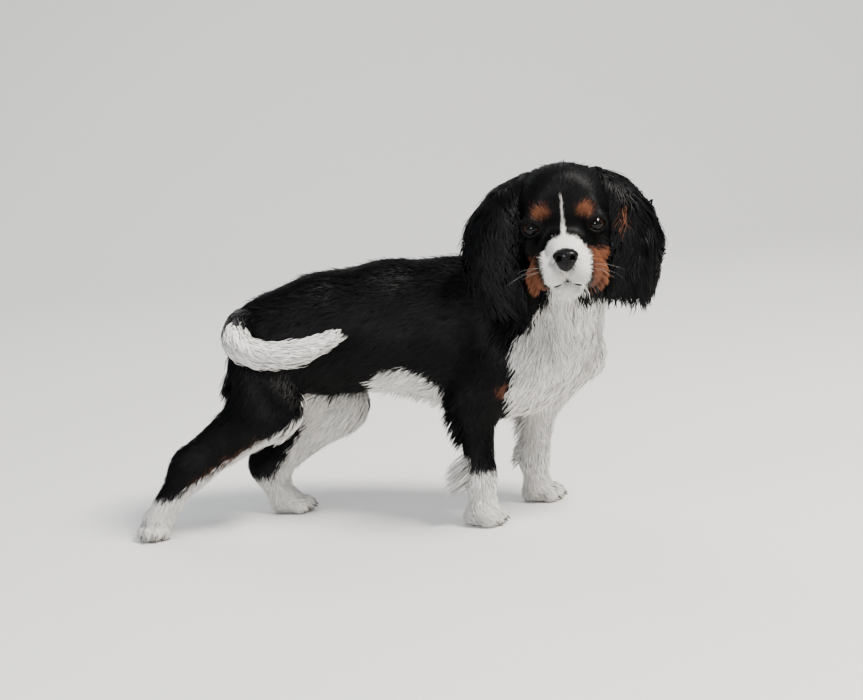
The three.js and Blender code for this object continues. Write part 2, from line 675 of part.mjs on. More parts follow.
// The line of the mouth, lowest at its corners, with the rolls of the upper lips over it
const MOUTH_MIDDLE = -42;
const MOUTH_DROP = 10;
function mouthPoint(turn, raise, proud) {
  const from = inHead(6 + 60 * Math.cos(turn), 60 * Math.sin(turn),
    MOUTH_MIDDLE - MOUTH_DROP * Math.sin(turn) ** 2 + raise);
  const inwards = inHead(6, 0, MOUTH_MIDDLE - 4).sub(from).setZ(0).normalize();
  return settle(headField, from, inwards).addScaledVector(inwards, -proud);
}
const mouthPath = (reach, count, raise, proud) =>
  Array.from({ length: count }, (_, i) => mouthPoint(mix(-reach, reach, i / (count - 1)), raise, proud));
const mouthLine = tube(mouthPath(1.75, 13, 0, -0.1), () => 1.2, 18, 4);
const upperLip = tube(mouthPath(1.5, 11, 2.6, -0.7), (t) => 0.8 + 1.5 * Math.sin(Math.PI * t) ** 0.5, 14, 4);
const onFront = (u) => settle(headField, inHead(70, 0, u), FORWARD.clone().negate());
const philtrum = tube([-31, -36, -41].map(onFront), () => 0.9, 4, 5);

// Planes between neighbours
const neckDirection = inHead(-30, 0, 0).sub(neckBase).normalize();
const headCut = [vec(88, 0, 236), vec(-0.38, 0.46, -0.8)];
const neckCut = [vec(56, 16, 204), neckDirection.clone().negate()];
const tailCut = (i) => [TAIL[i], TAIL[i + 1].clone().sub(TAIL[i - 1]).normalize()];

// The boxes that hold each leg and each paw
const legBoxes = {
  foreleg_right: { low: [-60, -60, 22], high: [62, 17, 110], cell: [9.5, 9, 13] },
  foreleg_left: { low: [20, 50, 22], high: [130, 120, 106], cell: [9.5, 9, 13] },
  hindleg_right: { low: [-340, -60, 30], high: [-136, 30, 138], cell: [10.5, 10.5, 10.5] },
  hindleg_left: { low: [-260, 46, 24], high: [-90, 130, 130], cell: [10.5, 10.5, 10.5] },
};
const pawBoxes = {
  forepaw_right: { low: [-60, -60, -5], high: [62, 17, 22], cell: [7.5, 5.6, 7] },
  forepaw_left: { low: [20, 50, -5], high: [130, 120, 22], cell: [7.5, 5.6, 7] },
  hindpaw_right: { low: [-340, -60, -5], high: [-136, 30, 30], cell: [5.6, 7.5, 7.5] },
  hindpaw_left: { low: [-260, 46, -5], high: [-90, 130, 24], cell: [7.5, 5.6, 7] },
};
const FLOOR = [vec(0, 0, 1.2), vec(0, 0, -1)];
const around = (box, by) => evenly(box.low.map((x) => x - by), box.high.map((x) => x + by), box.cell);
const inBox = (box) =>
  solid(surface(wholeField, around(box, 12))).intersect(region(box.low, box.high, -GAP / 2));

// The bare form of each node, with the clear space to its neighbours
const cores = {};
for (const [name, box] of Object.entries(legBoxes)) cores[name] = inBox(box);
for (const [name, box] of Object.entries(pawBoxes))
  cores[name] = behind(paws[name].claws.reduce((s, claw) => s.add(claw), inBox(box)), [FLOOR], 0);

const headGrid = [
  lines(44, [62, 9], [140, 6.2], [158, 9]),
  lines(-105, [-50, 5.4], [10, 10], [42, 12]),
  lines(192, [288, 6], [332, 10]),
];
cores.head = behind(solid(surface(wholeField, headGrid)), [headCut])
  .add(upperLip)
  .subtract(mouthLine)
  .subtract(philtrum)
  .subtract(noseSeat);
for (const side of [1, -1])
  cores.head = cores.head
    .subtract(eyeOpening(side))
    .add(lidRim(side))
    .subtract(eyeball(side, EYE_RADIUS + GAP * 2.2))
    .subtract(earLeather(side, GAP * 1.5));

cores.neck = behind(solid(surface(wholeField, evenly([0, -60, 130], [150, 80, 290], [12, 12, 12]))),
  [turned(headCut), neckCut]);
cores.torso = behind(solid(surface(wholeField, evenly([-260, -60, 40], [150, 120, 290], [17, 14, 14]))),
  [turned(neckCut)]);
for (const { low, high } of Object.values(legBoxes))
  cores.torso = cores.torso.subtract(region(low, high, GAP / 2));
cores.torso = cores.torso.subtract(tube(TAIL, (t) => tailCore(t) + GAP * 1.3, 22, 8));

const tailTube = tube(TAIL, tailCore, 22, 8);
cores.tail_root = behind(tailTube, [tailCut(3)]);
cores.tail_middle = behind(tailTube, [turned(tailCut(3)), tailCut(6)]);
cores.tail_tip = behind(tailTube, [turned(tailCut(6))]);
cores.ear_left = earLeather(1);
cores.ear_right = earLeather(-1);
cores.nose = nose;
cores.eye_left = eyeballs[0];
cores.eye_right = eyeballs[1];

// Where the longer hair grows, and how it lies
const DOWN = vec(0, 0, -1);
const locks = { ear_left: earLocks(1), ear_right: earLocks(-1), neck: [], torso: [] };

// The bib: rows down the throat and the front of the chest, each lock flowing down and a little back
const BIB = [
  { at: vec(84, 4, 216), node: "neck", length: 36, turns: [-66, -32, 2] },
  { at: vec(80, 6, 192), node: "neck", length: 36, turns: [-80, -46, -12, 20] },
  { at: vec(76, 10, 164), node: "torso", length: 38, turns: [-88, -54, -20, 12] },
  { at: vec(70, 14, 138), node: "torso", length: 34, turns: [-72, -36, 0] },
  { at: vec(62, 22, 118), node: "torso", length: 26, turns: [-60, -20] },
];
for (const { at, node: name, length, turns } of BIB)
  for (const turn of turns) {
    const way = vec(Math.cos(deg(turn)), Math.sin(deg(turn)), 0);
    const from = settle(bodyField, at.clone().addScaledVector(way, 90), way.clone().negate());
    const lie = DOWN.clone().addScaledVector(way, -0.25);
    locks[name].push(lying(wholeField, from, lie, length, 20, 6));
  }

// The fringe of the belly, from the elbow back to the flank
for (let x = -26; x > -124; x -= 17) {
  const from = vec(x, 4 + 8 * random(), 108);
  locks.torso.push(lying(wholeField, from, vec(-1, 0.15, -0.6), 34, 20, 7));
}

// The feathering behind each leg: locks down a line, turned to one side and the other by turns
const FEATHERS = {
  foreleg_right: { line: [vec(-18, -4, 104), vec(-12, -4, 80), vec(-10, -4, 60)], way: vec(-0.24, 0, -0.97) },
  foreleg_left: { line: [vec(42, 70, 100), vec(37, 73, 78), vec(33, 73, 60)], way: vec(-0.22, 0, -0.97) },
  hindleg_right: { line: [vec(-222, 6, 128), vec(-236, 2, 108), vec(-262, 0, 92)], way: vec(-0.72, 0, -0.7) },
  hindleg_left: { line: [vec(-192, 68, 118), vec(-206, 71, 94), vec(-220, 71, 76)], way: vec(-0.6, 0, -0.8) },
};
const FEATHER_COUNT = 4;
for (const [name, { line, way }] of Object.entries(FEATHERS)) {
  locks[name] = [];
  const curve = new THREE.CatmullRomCurve3(line);
  for (let i = 0; i < FEATHER_COUNT; i++) {
    const side = i % 2 ? -1 : 1;
    const from = curve.getPoint((i + 0.5) / FEATHER_COUNT).add(vec(0, 3 * side, 0));
    const out = vec(-0.7, 0.8 * side, 0);
    locks[name].push(hanging(wholeField, from, way, 36 - 3 * i, 19, 0.1, out));
  }
}

// The plume: locks out of the tail's core that lie along it, longer below
const tailCurve = new THREE.CatmullRomCurve3(TAIL);
const TAIL_NODES = [["tail_root", 0.22, 0.22], ["tail_middle", 0.4, 0.58], ["tail_tip", 0.72, 0.88]];
for (const [name, from, to] of TAIL_NODES) {
  locks[name] = [];
  const rows = to > from ? 2 : 1;
  for (let i = 0; i < rows; i++)
    for (const turn of [30, 150, 270]) {
      const t = mix(from, to, i / Math.max(rows - 1, 1)) + 0.02 * random();
      const centre = tailCurve.getPointAt(t);
      const tangent = tailCurve.getTangentAt(t);
      const side = tangent.clone().cross(vec(0, 0, 1)).normalize();
      const angle = deg(turn + 60 * (i % 2));
      const out = side.multiplyScalar(Math.cos(angle)).addScaledVector(vec(0, 0, 1), Math.sin(angle));
      const radius = tailCore(t);
      const length = 38 + 6 * Math.max(0, -out.z);
      const points = [0, 0.25, 0.5, 0.75, 1].map((f) => {
        const ahead = tailCurve.getPointAt(Math.min(t + (f * length) / tailCurve.getLength(), 1));
        const beyond = Math.max(0, t + (f * length) / tailCurve.getLength() - 1) * tailCurve.getLength();
        const rise = mix(radius - 1.5, tailFull(t) - 1, f ** 0.7) * (1 - 0.55 * f ** 3);
        return ahead.addScaledVector(tangent, beyond).addScaledVector(out, rise)
          .addScaledVector(DOWN, f * f * 4 * Math.max(0, -out.z));
      });
      locks[name].push({ points, out, width: 19 * vary(0.15), thick: 3.4 });
    }
}

// Each core gives way to its neighbours' locks, and then takes its own.
const materials = {
  black: [0x17171a, 0.7],
  white: [0xe9e6e0, 0.8],
  eye: [0x2a1a10, 0.1],
  nose: [0x0c0c0d, 0.4],
};
const WHITE_NODES = ["tail_middle", "tail_tip", "foreleg_left", ...Object.keys(pawBoxes)];
function finish(name) {
  if (name.startsWith("eye")) return materials.eye;
  if (name === "nose") return materials.nose;
  return WHITE_NODES.includes(name) ? materials.white : materials.black;
}
const hair = Object.entries(locks).map(([name, list]) => [
  name,
  list.map((one) => lock(one)),
  list.map((one) => lock(one, GAP * 1.2)),
]);
const touches = (a, b) => {
  const [p, q] = [a.boundingBox(), b.boundingBox()];
  return [0, 1, 2].every((i) => p.min[i] < q.max[i] && q.min[i] < p.max[i]);
};
const forms = {};
for (const [name, core] of Object.entries(cores)) {
  const rank = hair.findIndex(([owner]) => owner === name);
  let form = core;
  for (const [owner, , grown] of hair)
    if (owner !== name) for (const g of grown) if (touches(form, g)) form = form.subtract(g);
  if (rank >= 0)
    for (let own of hair[rank][1]) {
      for (const [i, [, , grown]] of hair.entries())
        if (i < rank) for (const g of grown) if (touches(own, g)) own = own.subtract(g);
      form = form.add(own);
    }
  forms[name] = form;
}

// The origin goes to the middle of the floor under the dog's box.
const boxes = Object.values(forms).map((form) => form.boundingBox());
const lowest = [0, 1, 2].map((i) => Math.min(...boxes.map((b) => b.min[i])));
const highest = [0, 1, 2].map((i) => Math.max(...boxes.map((b) => b.max[i])));
const shift = [-(lowest[0] + highest[0]) / 2, -(lowest[1] + highest[1]) / 2, -lowest[2]];
const spaniel = new THREE.Group();
for (const [name, form] of Object.entries(forms)) {
  const [color, roughness] = finish(name);
  const material = new THREE.MeshStandardMaterial({ color, roughness, metalness: 0 });
  const mesh = new THREE.Mesh(geometryOf(largest(form.translate(shift))), material);
  mesh.name = name;
  spaniel.add(mesh);
}
export default spaniel;
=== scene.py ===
"""A tricolour spaniel puppy, about four months old, standing with its head turned to its right."""

import math

import bpy
import numpy as np
from bpy.props import FloatProperty, IntProperty, PointerProperty, StringProperty
from mathutils import Matrix, Vector, kdtree


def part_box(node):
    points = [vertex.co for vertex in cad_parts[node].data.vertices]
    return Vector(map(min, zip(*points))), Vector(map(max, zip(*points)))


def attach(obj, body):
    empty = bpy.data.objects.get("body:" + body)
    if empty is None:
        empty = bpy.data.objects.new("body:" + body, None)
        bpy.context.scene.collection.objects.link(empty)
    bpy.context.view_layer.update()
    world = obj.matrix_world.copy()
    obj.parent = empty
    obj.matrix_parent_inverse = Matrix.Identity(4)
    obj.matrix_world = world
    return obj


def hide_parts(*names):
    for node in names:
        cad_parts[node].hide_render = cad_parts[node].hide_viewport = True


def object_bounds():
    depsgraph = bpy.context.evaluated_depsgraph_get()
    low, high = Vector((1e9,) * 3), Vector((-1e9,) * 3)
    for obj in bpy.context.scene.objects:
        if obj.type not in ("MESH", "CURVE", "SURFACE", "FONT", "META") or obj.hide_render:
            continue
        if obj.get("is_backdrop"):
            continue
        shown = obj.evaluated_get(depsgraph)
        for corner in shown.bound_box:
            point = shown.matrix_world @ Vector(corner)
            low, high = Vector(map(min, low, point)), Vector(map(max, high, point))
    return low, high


bl_info = {
    "name": "Spaniel Puppy",
    "version": (1, 0, 0),
    "blender": (4, 5, 0),
    "location": "3D View > Sidebar > Spaniel",
    "description": "Builds the skin, coat, eyes, nose and claws of a standing spaniel puppy",
    "category": "Object",
}

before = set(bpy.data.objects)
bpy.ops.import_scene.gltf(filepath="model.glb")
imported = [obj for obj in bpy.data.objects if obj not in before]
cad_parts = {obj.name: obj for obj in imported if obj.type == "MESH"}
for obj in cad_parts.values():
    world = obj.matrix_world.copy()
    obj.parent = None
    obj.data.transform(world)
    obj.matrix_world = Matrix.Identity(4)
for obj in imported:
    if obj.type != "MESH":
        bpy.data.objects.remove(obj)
CAD_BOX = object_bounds()
MM = 0.001
BAKE_MAP = "OFBake"
BAKE_PATCH = 0.003  # a tuft's patch on the baking map
COAT_MARKS = "coat"  # the attribute that carries the markings
LOWEST = 1.3  # of skin and coat, in millimetres, in the frame that the puppy was drawn in
PIECE_TRIANGLES = 190000  # past this, a piece of the coat is divided


class SpanielShape(bpy.types.PropertyGroup):
    """Sizes of the puppy's head, ears and paws"""

    eye_spacing: FloatProperty(
        name="Eye spacing", description="Between the centres of the eyes", default=0.053, unit="LENGTH"
    )
    eye_radius: FloatProperty(name="Eye radius", description="Of the eyeball", default=0.009, unit="LENGTH")
    eye_width: FloatProperty(
        name="Eye opening width", description="Between the corners of the lids", default=0.0146, unit="LENGTH"
    )
    eye_height: FloatProperty(
        name="Eye opening height", description="Between the lids", default=0.0116, unit="LENGTH"
    )
    skull_width: FloatProperty(
        name="Skull width", description="Across the skull, with its coat", default=0.084, unit="LENGTH"
    )
    muzzle_length: FloatProperty(
        name="Muzzle length", description="From the line of the eyes to the nose", default=0.042,
        unit="LENGTH",
    )
    muzzle_width: FloatProperty(
        name="Muzzle width", description="Across the lips", default=0.054, unit="LENGTH"
    )
    nose_width: FloatProperty(
        name="Nose width", description="Across the nose pad", default=0.0235, unit="LENGTH"
    )
    ear_length: FloatProperty(
        name="Ear length", description="From the root to the ends of the locks", default=0.112, unit="LENGTH"
    )
    head_yaw: FloatProperty(
        name="Head turn", description="From straight ahead, minus is to its right",
        default=math.radians(-84), subtype="ANGLE", unit="ROTATION",
    )
    paw_width: FloatProperty(name="Paw width", description="Across the toes", default=0.033, unit="LENGTH")


class SpanielCoat(bpy.types.PropertyGroup):
    """Colours and fullness of the coat"""

    black: StringProperty(name="Black", description="Black coat, sRGB hex", default="040405")
    white: StringProperty(name="White", description="White coat, sRGB hex", default="f2eee8")
    tan: StringProperty(name="Tan", description="Tan points, sRGB hex", default="764832")
    fullness: FloatProperty(
        name="Fullness", description="Number of tufts against the full coat", default=1.0, min=0.02, max=1.5
    )
    seed: IntProperty(name="Seed", description="Of the coat's random draws", default=11)
    nose: StringProperty(
        name="Nose leather", description="Nose, lips and lid rims, sRGB hex", default="080708"
    )
    iris: StringProperty(name="Iris", description="Iris of the eye, sRGB hex", default="1d0e07")
    claw: StringProperty(name="Claw", description="Horn of the claws, sRGB hex", default="4a4038")


class SpanielStage(bpy.types.PropertyGroup):
    """Camera and floor"""

    azimuth: FloatProperty(
        name="Azimuth", description="Of the camera round the puppy", default=math.radians(11),
        subtype="ANGLE",
    )
    elevation: FloatProperty(
        name="Elevation", description="Of the camera over the floor", default=math.radians(10),
        subtype="ANGLE",
    )
    roll: FloatProperty(
        name="Roll", description="Of the camera, clockwise", default=math.radians(5), subtype="ANGLE"
    )
    lens: FloatProperty(
        name="Lens", description="Focal length, on a 36 mm frame", default=75.087, subtype="DISTANCE_CAMERA"
    )
    floor: StringProperty(name="Floor", description="Colour of the floor, sRGB hex", default="e6e5e2")


# Small tools for arrays of points, in millimetres


def unit(v):
    """Vectors at length one."""
    v = np.asarray(v, float)
    return v / np.maximum(np.linalg.norm(v, axis=-1, keepdims=True), 1e-12)


def dots(a, b):
    """The products of vectors, row by row."""
    return np.einsum("...i,...i->...", a, b)


def across_to(v, n):
    """What of the vectors v lies square to the unit vectors n."""
    return v - dots(v, n)[..., None] * n


def smooth(low, high, x):
    """A soft step from 0 to 1 as x goes from low to high."""
    t = np.clip((x - low) / (high - low), 0, 1)
    return t * t * (3 - 2 * t)


def ripple(p, size, phase=0.0):
    """A soft pattern from -1 to 1 over space, whose swells are about size apart."""
    x, y, z = (p[..., i] * (2 * math.pi / size) for i in range(3))
    waves = np.sin(x + 0.7 * y + phase) + np.sin(0.9 * y - 0.8 * z + 2.1 + phase)
    return (waves + np.sin(z + 0.6 * x + 4.3 - phase) + np.sin(1.7 * x - 1.3 * z + 0.7)) / 4


# Fields: each takes points and gives about their distance to a surface, minus inside


def limb(a, b, at_a, at_b, across=(0, 1, 0)):
    """A limb with an oval section from a to b, its radii [across, deep] at each end."""
    a, b = np.asarray(a, float), np.asarray(b, float)
    axis = b - a
    length = max(axis @ axis, 1e-9)
    side = unit(np.asarray(across, float) - axis * (np.dot(across, axis) / length))

    def field(p):
        off = p - a
        t = np.clip(off @ axis / length, 0, 1)
        off = off - t[..., None] * axis
        u = off @ side
        w = np.maximum(dots(off, off) - u * u, 0)
        ru = (at_a[0] + (at_b[0] - at_a[0]) * t) ** 2
        rw = (at_a[1] + (at_b[1] - at_a[1]) * t) ** 2
        near = np.sqrt(u * u / ru + w / rw)
        slope = np.sqrt(u * u / ru**2 + w / rw**2)
        apart = near * (near - 1) / np.maximum(slope, 1e-6)
        return np.where(slope < 1e-6, -np.sqrt(np.minimum(ru, rw)), apart)

    return field


def ball(centre, radii, axes=np.eye(3)):
    """An ellipsoid with its three radii along the rows of axes."""
    centre, radii, axes = np.asarray(centre, float), np.asarray(radii, float), np.asarray(axes, float)

    def field(p):
        x = (p - centre) @ axes.T / radii
        near = np.sqrt(dots(x, x))
        slope = np.sqrt(dots(x / radii, x / radii))
        return np.where(slope < 1e-6, -radii.min(), near * (near - 1) / np.maximum(slope, 1e-6))

    return field


def chain(points, radii):
    """A round limb from each point to the next, with one radius or one for each point."""
    ends = list(zip(points, np.broadcast_to(np.asarray(radii, float), len(points))))
    return [limb(a, b, (ra, ra), (rb, rb)) for (a, ra), (b, rb) in zip(ends, ends[1:])]


def merged(d, e, k):
    """The lesser of two distances, less where they are alike, which fills a crease over a width k."""
    h = np.maximum(k - np.abs(d - e), 0) / k
    return np.minimum(d, e) - h * h * k / 4


def blend(k, *fields):
    """The smooth union of fields, which swells the crease between them over a width k."""

    def field(p):
        d = fields[0](p)
        for other in fields[1:]:
            d = merged(d, other(p), k)
        return d

    return field


def press(k, field, hollow):
    """A field with another one pressed out of it, the edge rounded over a width k."""
    return lambda p: -merged(-field(p), hollow(p), k)


def outward(field, p, step=0.3):
    """The outward directions of a field at points."""
    slope = np.empty_like(p)
    for i in range(3):
        q = p.copy()
        q[..., i] += step
        up = field(q)
        q[..., i] -= 2 * step
        slope[..., i] = up - field(q)
    return unit(slope)


def settle(field, p, direction, steps=40):
    """The points where the field's surface is met from p going along a direction."""
    p = p.copy()
    for _ in range(steps):
        p += direction * (0.7 * field(p))[..., None]
    return p


# The puppy's own shape, in millimetres, in the frame that it was drawn in: x ahead, y to its left


class Puppy:
    """Points, directions and fields of the puppy, with the skin under its coat."""

    EYES_MID = np.array([101.5, -52, 273.5])
    EYE_DROP = 2.6  # of the eyes under the line that the head is drawn from
    EYE_TILT = math.radians(13)  # of the opening, outwards
    EYE_SLANT = 0.08  # of its outer corner, upwards
    LID_SHARES = (0.52, 0.48)  # of its height, over and under its corners
    LID_FLATNESS = 0.16  # how much less high it is towards its corners
    FACE_REACH = 75  # what lies no farther off than this may hold lids, lips or nose
    SPINE = [
        ((75, 14, 157), (27, 32)), ((36, 30, 162), (46, 67)), ((-14, 40, 174), (47, 63.5)),
        ((-74, 46, 179.5), (47, 58.5)), ((-134, 44, 176.5), (42, 54)), ((-174, 38, 172), (41, 49)),
    ]
    RIGHT = dict(
        shoulder=(40, -4, 152), elbow=(6, 0, 118), wrist=(4, -1, 47), forepaw=(6, -2, 16),
        hip=(-191, 12, 151), stifle=(-185, 2, 118), hock=(-265, -1, 65), ball=(-300, -4, 20),
    )
    LEFT = dict(
        shoulder=(88, 56, 146), elbow=(60, 66, 112), wrist=(43, 73, 47), forepaw=(45, 74, 16),
        hip=(-176, 66, 160), stifle=(-140, 72, 105), hock=(-212, 70, 48), ball=(-202, 67, 18),
    )
    BONES = [
        ("shoulder", "elbow", (26, 34), (18, 22)), ("elbow", "wrist", (16, 18), (11.5, 12.5)),
        ("wrist", "forepaw", (11.5, 12.5), (13, 12)), ("hip", "stifle", (24, 34), (20, 30)),
        ("stifle", "hock", (17, 29), (11, 18)), ("hock", "ball", (10, 16), (12.5, 13)),
    ]
    TOES = [(9, -11, 8), (15, -4.2, 9), (15, 4.2, 9), (9, 11, 8)]
    PAWS = [((3, -2), -8), ((47, 75), 6), ((-303, -8), -85), ((-192, 65), 8)]
    TAIL = np.array([
        (-176, 36, 186), (-194, 30, 197), (-205, 13, 196), (-206, -9, 189), (-199, -30, 182),
        (-179, -42, 175), (-153, -45, 174), (-130, -44, 179), (-110, -43, 186),
    ], float)
    EAR_LINE = np.array([
        (-38, 24, 40), (-41, 43, 27), (-41, 56, 2), (-37, 61.5, -26), (-32, 56, -54), (-29, 50, -72),
    ], float)
    EAR_WIDTH = [13, 19, 25, 29, 25, 10]
    EAR_THICK = [4.5, 4, 2.2, 1.5, 1.3, 1.0]
    EAR_BOW = 10
    EAR_TOP = 40
    EAR_DROP = 92  # from its top to the edge of its leather
    RIGHT_EAR_OUT = 10  # how much farther from the cheek the right ear hangs

    def __init__(self, shape):
        size = lambda name: getattr(shape, name) / MM
        turn = shape.head_yaw
        self.forward = np.array([math.cos(turn), math.sin(turn), 0])
        self.left = np.array([-math.sin(turn), math.cos(turn), 0])
        self.head_axes = np.array([self.forward, self.left, (0, 0, 1)])
        self.eye_radius = size("eye_radius")
        self.eye_side = size("eye_spacing") / 2
        self.eye_open = (size("eye_width") / 2, size("eye_height"))
        self.nose_front = size("muzzle_length")
        self.nose_half = size("nose_width") / 2
        self.skull = size("skull_width") / 2
        self.lip_side = size("muzzle_width") / 4
        self.ear_scale = size("ear_length") / 112
        self.toe_spread = size("paw_width") / 33
        eyes = [np.mean(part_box(name), axis=0) / MM for name in ("eye_left", "eye_right")]
        self.shift = np.mean(eyes, axis=0) - self.in_head(-0.85 * self.eye_radius, 0, 0)
        self.draw_masses()
        self.table = self.coat_table()

    def in_head(self, f, l, u):
        """Points of the head: f forward, l to its left and u up from midway between the eyes."""
        f, l, u = np.broadcast_arrays(*(np.asarray(x, float) for x in (f, l, u)))
        return self.EYES_MID + np.stack([f, l, u], -1) @ self.head_axes

    def of_head(self, p):
        """The head's own f, l, u of points."""
        return (p - self.EYES_MID) @ self.head_axes.T

    def placed(self, p):
        """Points in the CAD frame, in metres."""
        return (np.asarray(p) + self.shift) * MM

    def drawn(self, p):
        """Points of the CAD frame, in metres, in the frame that the puppy was drawn in."""
        return np.asarray(p) / MM - self.shift

    def eye_centre(self, side):
        """The centre of the left (1) or the right (-1) eyeball."""
        return self.in_head(-0.85 * self.eye_radius, side * self.eye_side, -self.EYE_DROP)

    def draw_masses(self):
        """The masses of the body, out to the ends of the coat, and the skin's own forms."""
        axes, put = self.head_axes, self.in_head
        lump = lambda f, l, u, radii: ball(put(f, l, u), radii, axes)
        both = lambda make: [make(1), make(-1)]
        tip = self.nose_front
        skull = blend(
            14,
            lump(-42, 0, 8, (40, self.skull, 41)),
            lump(-26, 0, 15, (26, 33, 30)),
            lump(-60, 0, -6, (26, 32, 30)),
            *both(lambda s: lump(-24, s * 24, -16, (20, 15, 20))),
        )
        bridge = limb(put(-2, 0, -16), put(tip - 13, 0, -23), (17, 12), (13, 9.5), self.left)
        chin = limb(put(-16, 0, -46), put(tip - 19, 0, -53.5), (17, 10), (11, 8.5), self.left)
        muzzle = blend(
            6,
            bridge,
            *both(lambda s: lump(tip - 18, s * (self.lip_side - 1), -36.5, (15, self.lip_side, 14))),
            *both(lambda s: lump(tip - 37, s * (self.lip_side + 5.5), -38, (20, 12.5, 17.5))),
            chin,
        )
        brows = both(lambda s: lump(-10, s * 21, 12, (8, 10, 6)))
        orbits = both(lambda s: lump(-9, s * self.eye_side, -2, (10, 11.5, 11)))
        self.head = blend(9, skull, muzzle, *brows, *orbits)
        spine = [limb(a, b, at_a, at_b) for (a, at_a), (b, at_b) in zip(self.SPINE, self.SPINE[1:])]
        neck = limb((40, 22, 190), put(-58, 0, -18), (40, 44), (32, 36))
        throat = limb((98, 4, 172), put(-34, 7, -36), (28, 24), (32, 35))
        sides = self.RIGHT, self.LEFT
        legs = [limb(side[a], side[b], *ends) for side in sides for a, b, *ends in self.BONES]
        self.body = blend(16, *spine, blend(14, neck, throat), *legs)
        self.paws = blend(1, *[self.paw(at, facing) for at, facing in self.PAWS])
        self.whole = blend(9, self.body, self.head, self.paws)

    def paw_axes(self, facing):
        """The axes of a paw that faces so many degrees to the left: ahead, to its left and up."""
        turn = math.radians(facing)
        forward = np.array([math.cos(turn), math.sin(turn), 0])
        return np.array([forward, (-forward[1], forward[0], 0), (0, 0, 1)])

    def paw(self, at, facing):
        """The field of a paw, with its four toes and the pad behind them."""
        axes = self.paw_axes(facing)
        put = lambda f, a, u: np.array([*at, 0]) + np.array([f, a, u]) @ axes
        wide = self.toe_spread
        toes = [ball(put(f, a * wide, u), (9, 6, 8), axes) for f, a, u in self.TOES]
        return blend(
            3,
            ball(put(-1, 0, 12), (15, 15 * wide, 12), axes),
            ball(put(-10, 0, 8), (9, 10, 8.5), axes),
            *toes,
        )

    # The skin: the masses less the depth of the coat, with ears, tail, lids and lips of its own

    def tail_path(self, count=25):
        """Points down the middle of the tail, and how far along it each is, from 0 to 1."""
        p = np.vstack([2 * self.TAIL[0] - self.TAIL[1], self.TAIL, 2 * self.TAIL[-1] - self.TAIL[-2]])
        x = np.linspace(0, len(self.TAIL) - 1, count)
        i = np.minimum(x.astype(int), len(self.TAIL) - 2)
        t = (x - i)[:, None]
        a, b, c, d = p[i], p[i + 1], p[i + 2], p[i + 3]
        square, cube = 2 * a - 5 * b + 4 * c - d, 3 * b - a - 3 * c + d
        path = 0.5 * (2 * b + (c - a) * t + square * t**2 + cube * t**3)
        return path, np.linspace(0, 1, count)

    def tail_skin(self, beyond=0):
        """The tail under its plume, drawn on past its tip where a length beyond is given."""
        path, along = self.tail_path(17)
        radius = 8.3 + 0.8 * np.sin(3 * along) - 4.8 * along**3
        if beyond:
            path = np.vstack([path, path[-1] + unit(path[-1] - path[-2]) * beyond])
            radius = np.append(radius, 0.5)
        return blend(3, *chain(path, radius))

    def ear_place(self, p, side, wide=0):
        """Down its length, across it from -1 to 1, and off its middle: where points are in an ear.

        Its lower half is taken as at least so wide to each side.
        """
        line = self.EAR_LINE.copy()
        line[:, 2] = self.EAR_TOP + (line[:, 2] - self.EAR_TOP) * self.ear_scale
        f, l, u = np.moveaxis(self.of_head(p), -1, 0)
        rows = np.linspace(0, 1, len(line))
        t = np.interp(-u, -line[:, 2], rows)
        f = f - np.interp(-u, -line[:, 2], line[:, 0])
        l = side * l - np.interp(-u, -line[:, 2], line[:, 1])
        half = np.maximum(np.interp(t, rows, self.EAR_WIDTH) - 2.5, wide * (t > 0.6))
        across = (-0.6 * f + 0.8 * l) / half
        swing = (self.RIGHT_EAR_OUT if side < 0 else 0) * np.clip(2.5 * t, 0, 1)
        bow = self.EAR_BOW * np.maximum(1 - across**2, -0.6) * np.clip(3 * t, 0, 1)
        return t, across, 0.8 * f + 0.6 * l - swing - bow, half, u

    def ear(self, side, hang=0):
        """The leather of an ear, a thin sheet bowed away from the head, hanging on below its edge."""
        rows = np.linspace(0, 1, len(self.EAR_LINE))

        def field(p):
            t, across, off, half, u = self.ear_place(p, side, 24 if hang else 0)
            thick = np.interp(t, rows, self.EAR_THICK) * np.sqrt(np.maximum(1 - across**2, 0))
            beyond = np.maximum(np.abs(across) - 1, 0) * half
            d = np.where(beyond > 0, np.hypot(beyond, off), np.abs(off) - thick)
            low = self.EAR_TOP - self.EAR_DROP * self.ear_scale + 6 * across**2 - hang
            return np.maximum(np.maximum(d, low - u), u - self.EAR_TOP - 1)

        return field

    def lid_place(self, p, side):
        """Where points are at an eye: across its opening, up it, and their distance from its centre."""
        off = (p - self.eye_centre(side)) @ self.head_axes.T
        f, l, u = off[..., 0], side * off[..., 1], off[..., 2]
        cos, sin = math.cos(self.EYE_TILT), math.sin(self.EYE_TILT)
        x = l * cos - f * sin
        return x, u - self.EYE_SLANT * x, f * cos + l * sin, np.sqrt(dots(off, off))

    def lid_height(self, x, z):
        """An eye's opening above its corners, or below them where z is minus, at x from -1 to 1."""
        return self.eye_open[1] * np.where(z > 0, *self.LID_SHARES) * (1 - self.LID_FLATNESS * x**2)

    def almond(self, p, side):
        """About the distance to the edge of an eye's opening, minus within it."""
        x, z, deep, _ = self.lid_place(p, side)
        wide = self.eye_open[0]
        tall = self.lid_height(np.clip(x / wide, -1, 1), z)
        edge = (np.sqrt((x / wide) ** 2 + (z / tall) ** 2) - 1) * 4.5
        return np.where(deep > 0, edge, 9.0)

    def mouth_path(self, reach=1.75, count=41, raised=0.0, field=None):
        """Points along the line of the mouth, from corner to corner, and the ways inwards from them."""
        turn = np.linspace(-reach, reach, count)
        start = self.in_head(6 + 60 * np.cos(turn), 60 * np.sin(turn), -46.5 - 9 * np.sin(turn) ** 2 + raised)
        inwards = self.in_head(6, 0, -50) - start
        inwards[:, 2] = 0
        inwards = unit(inwards)
        return settle(field or self.head, start, inwards), inwards

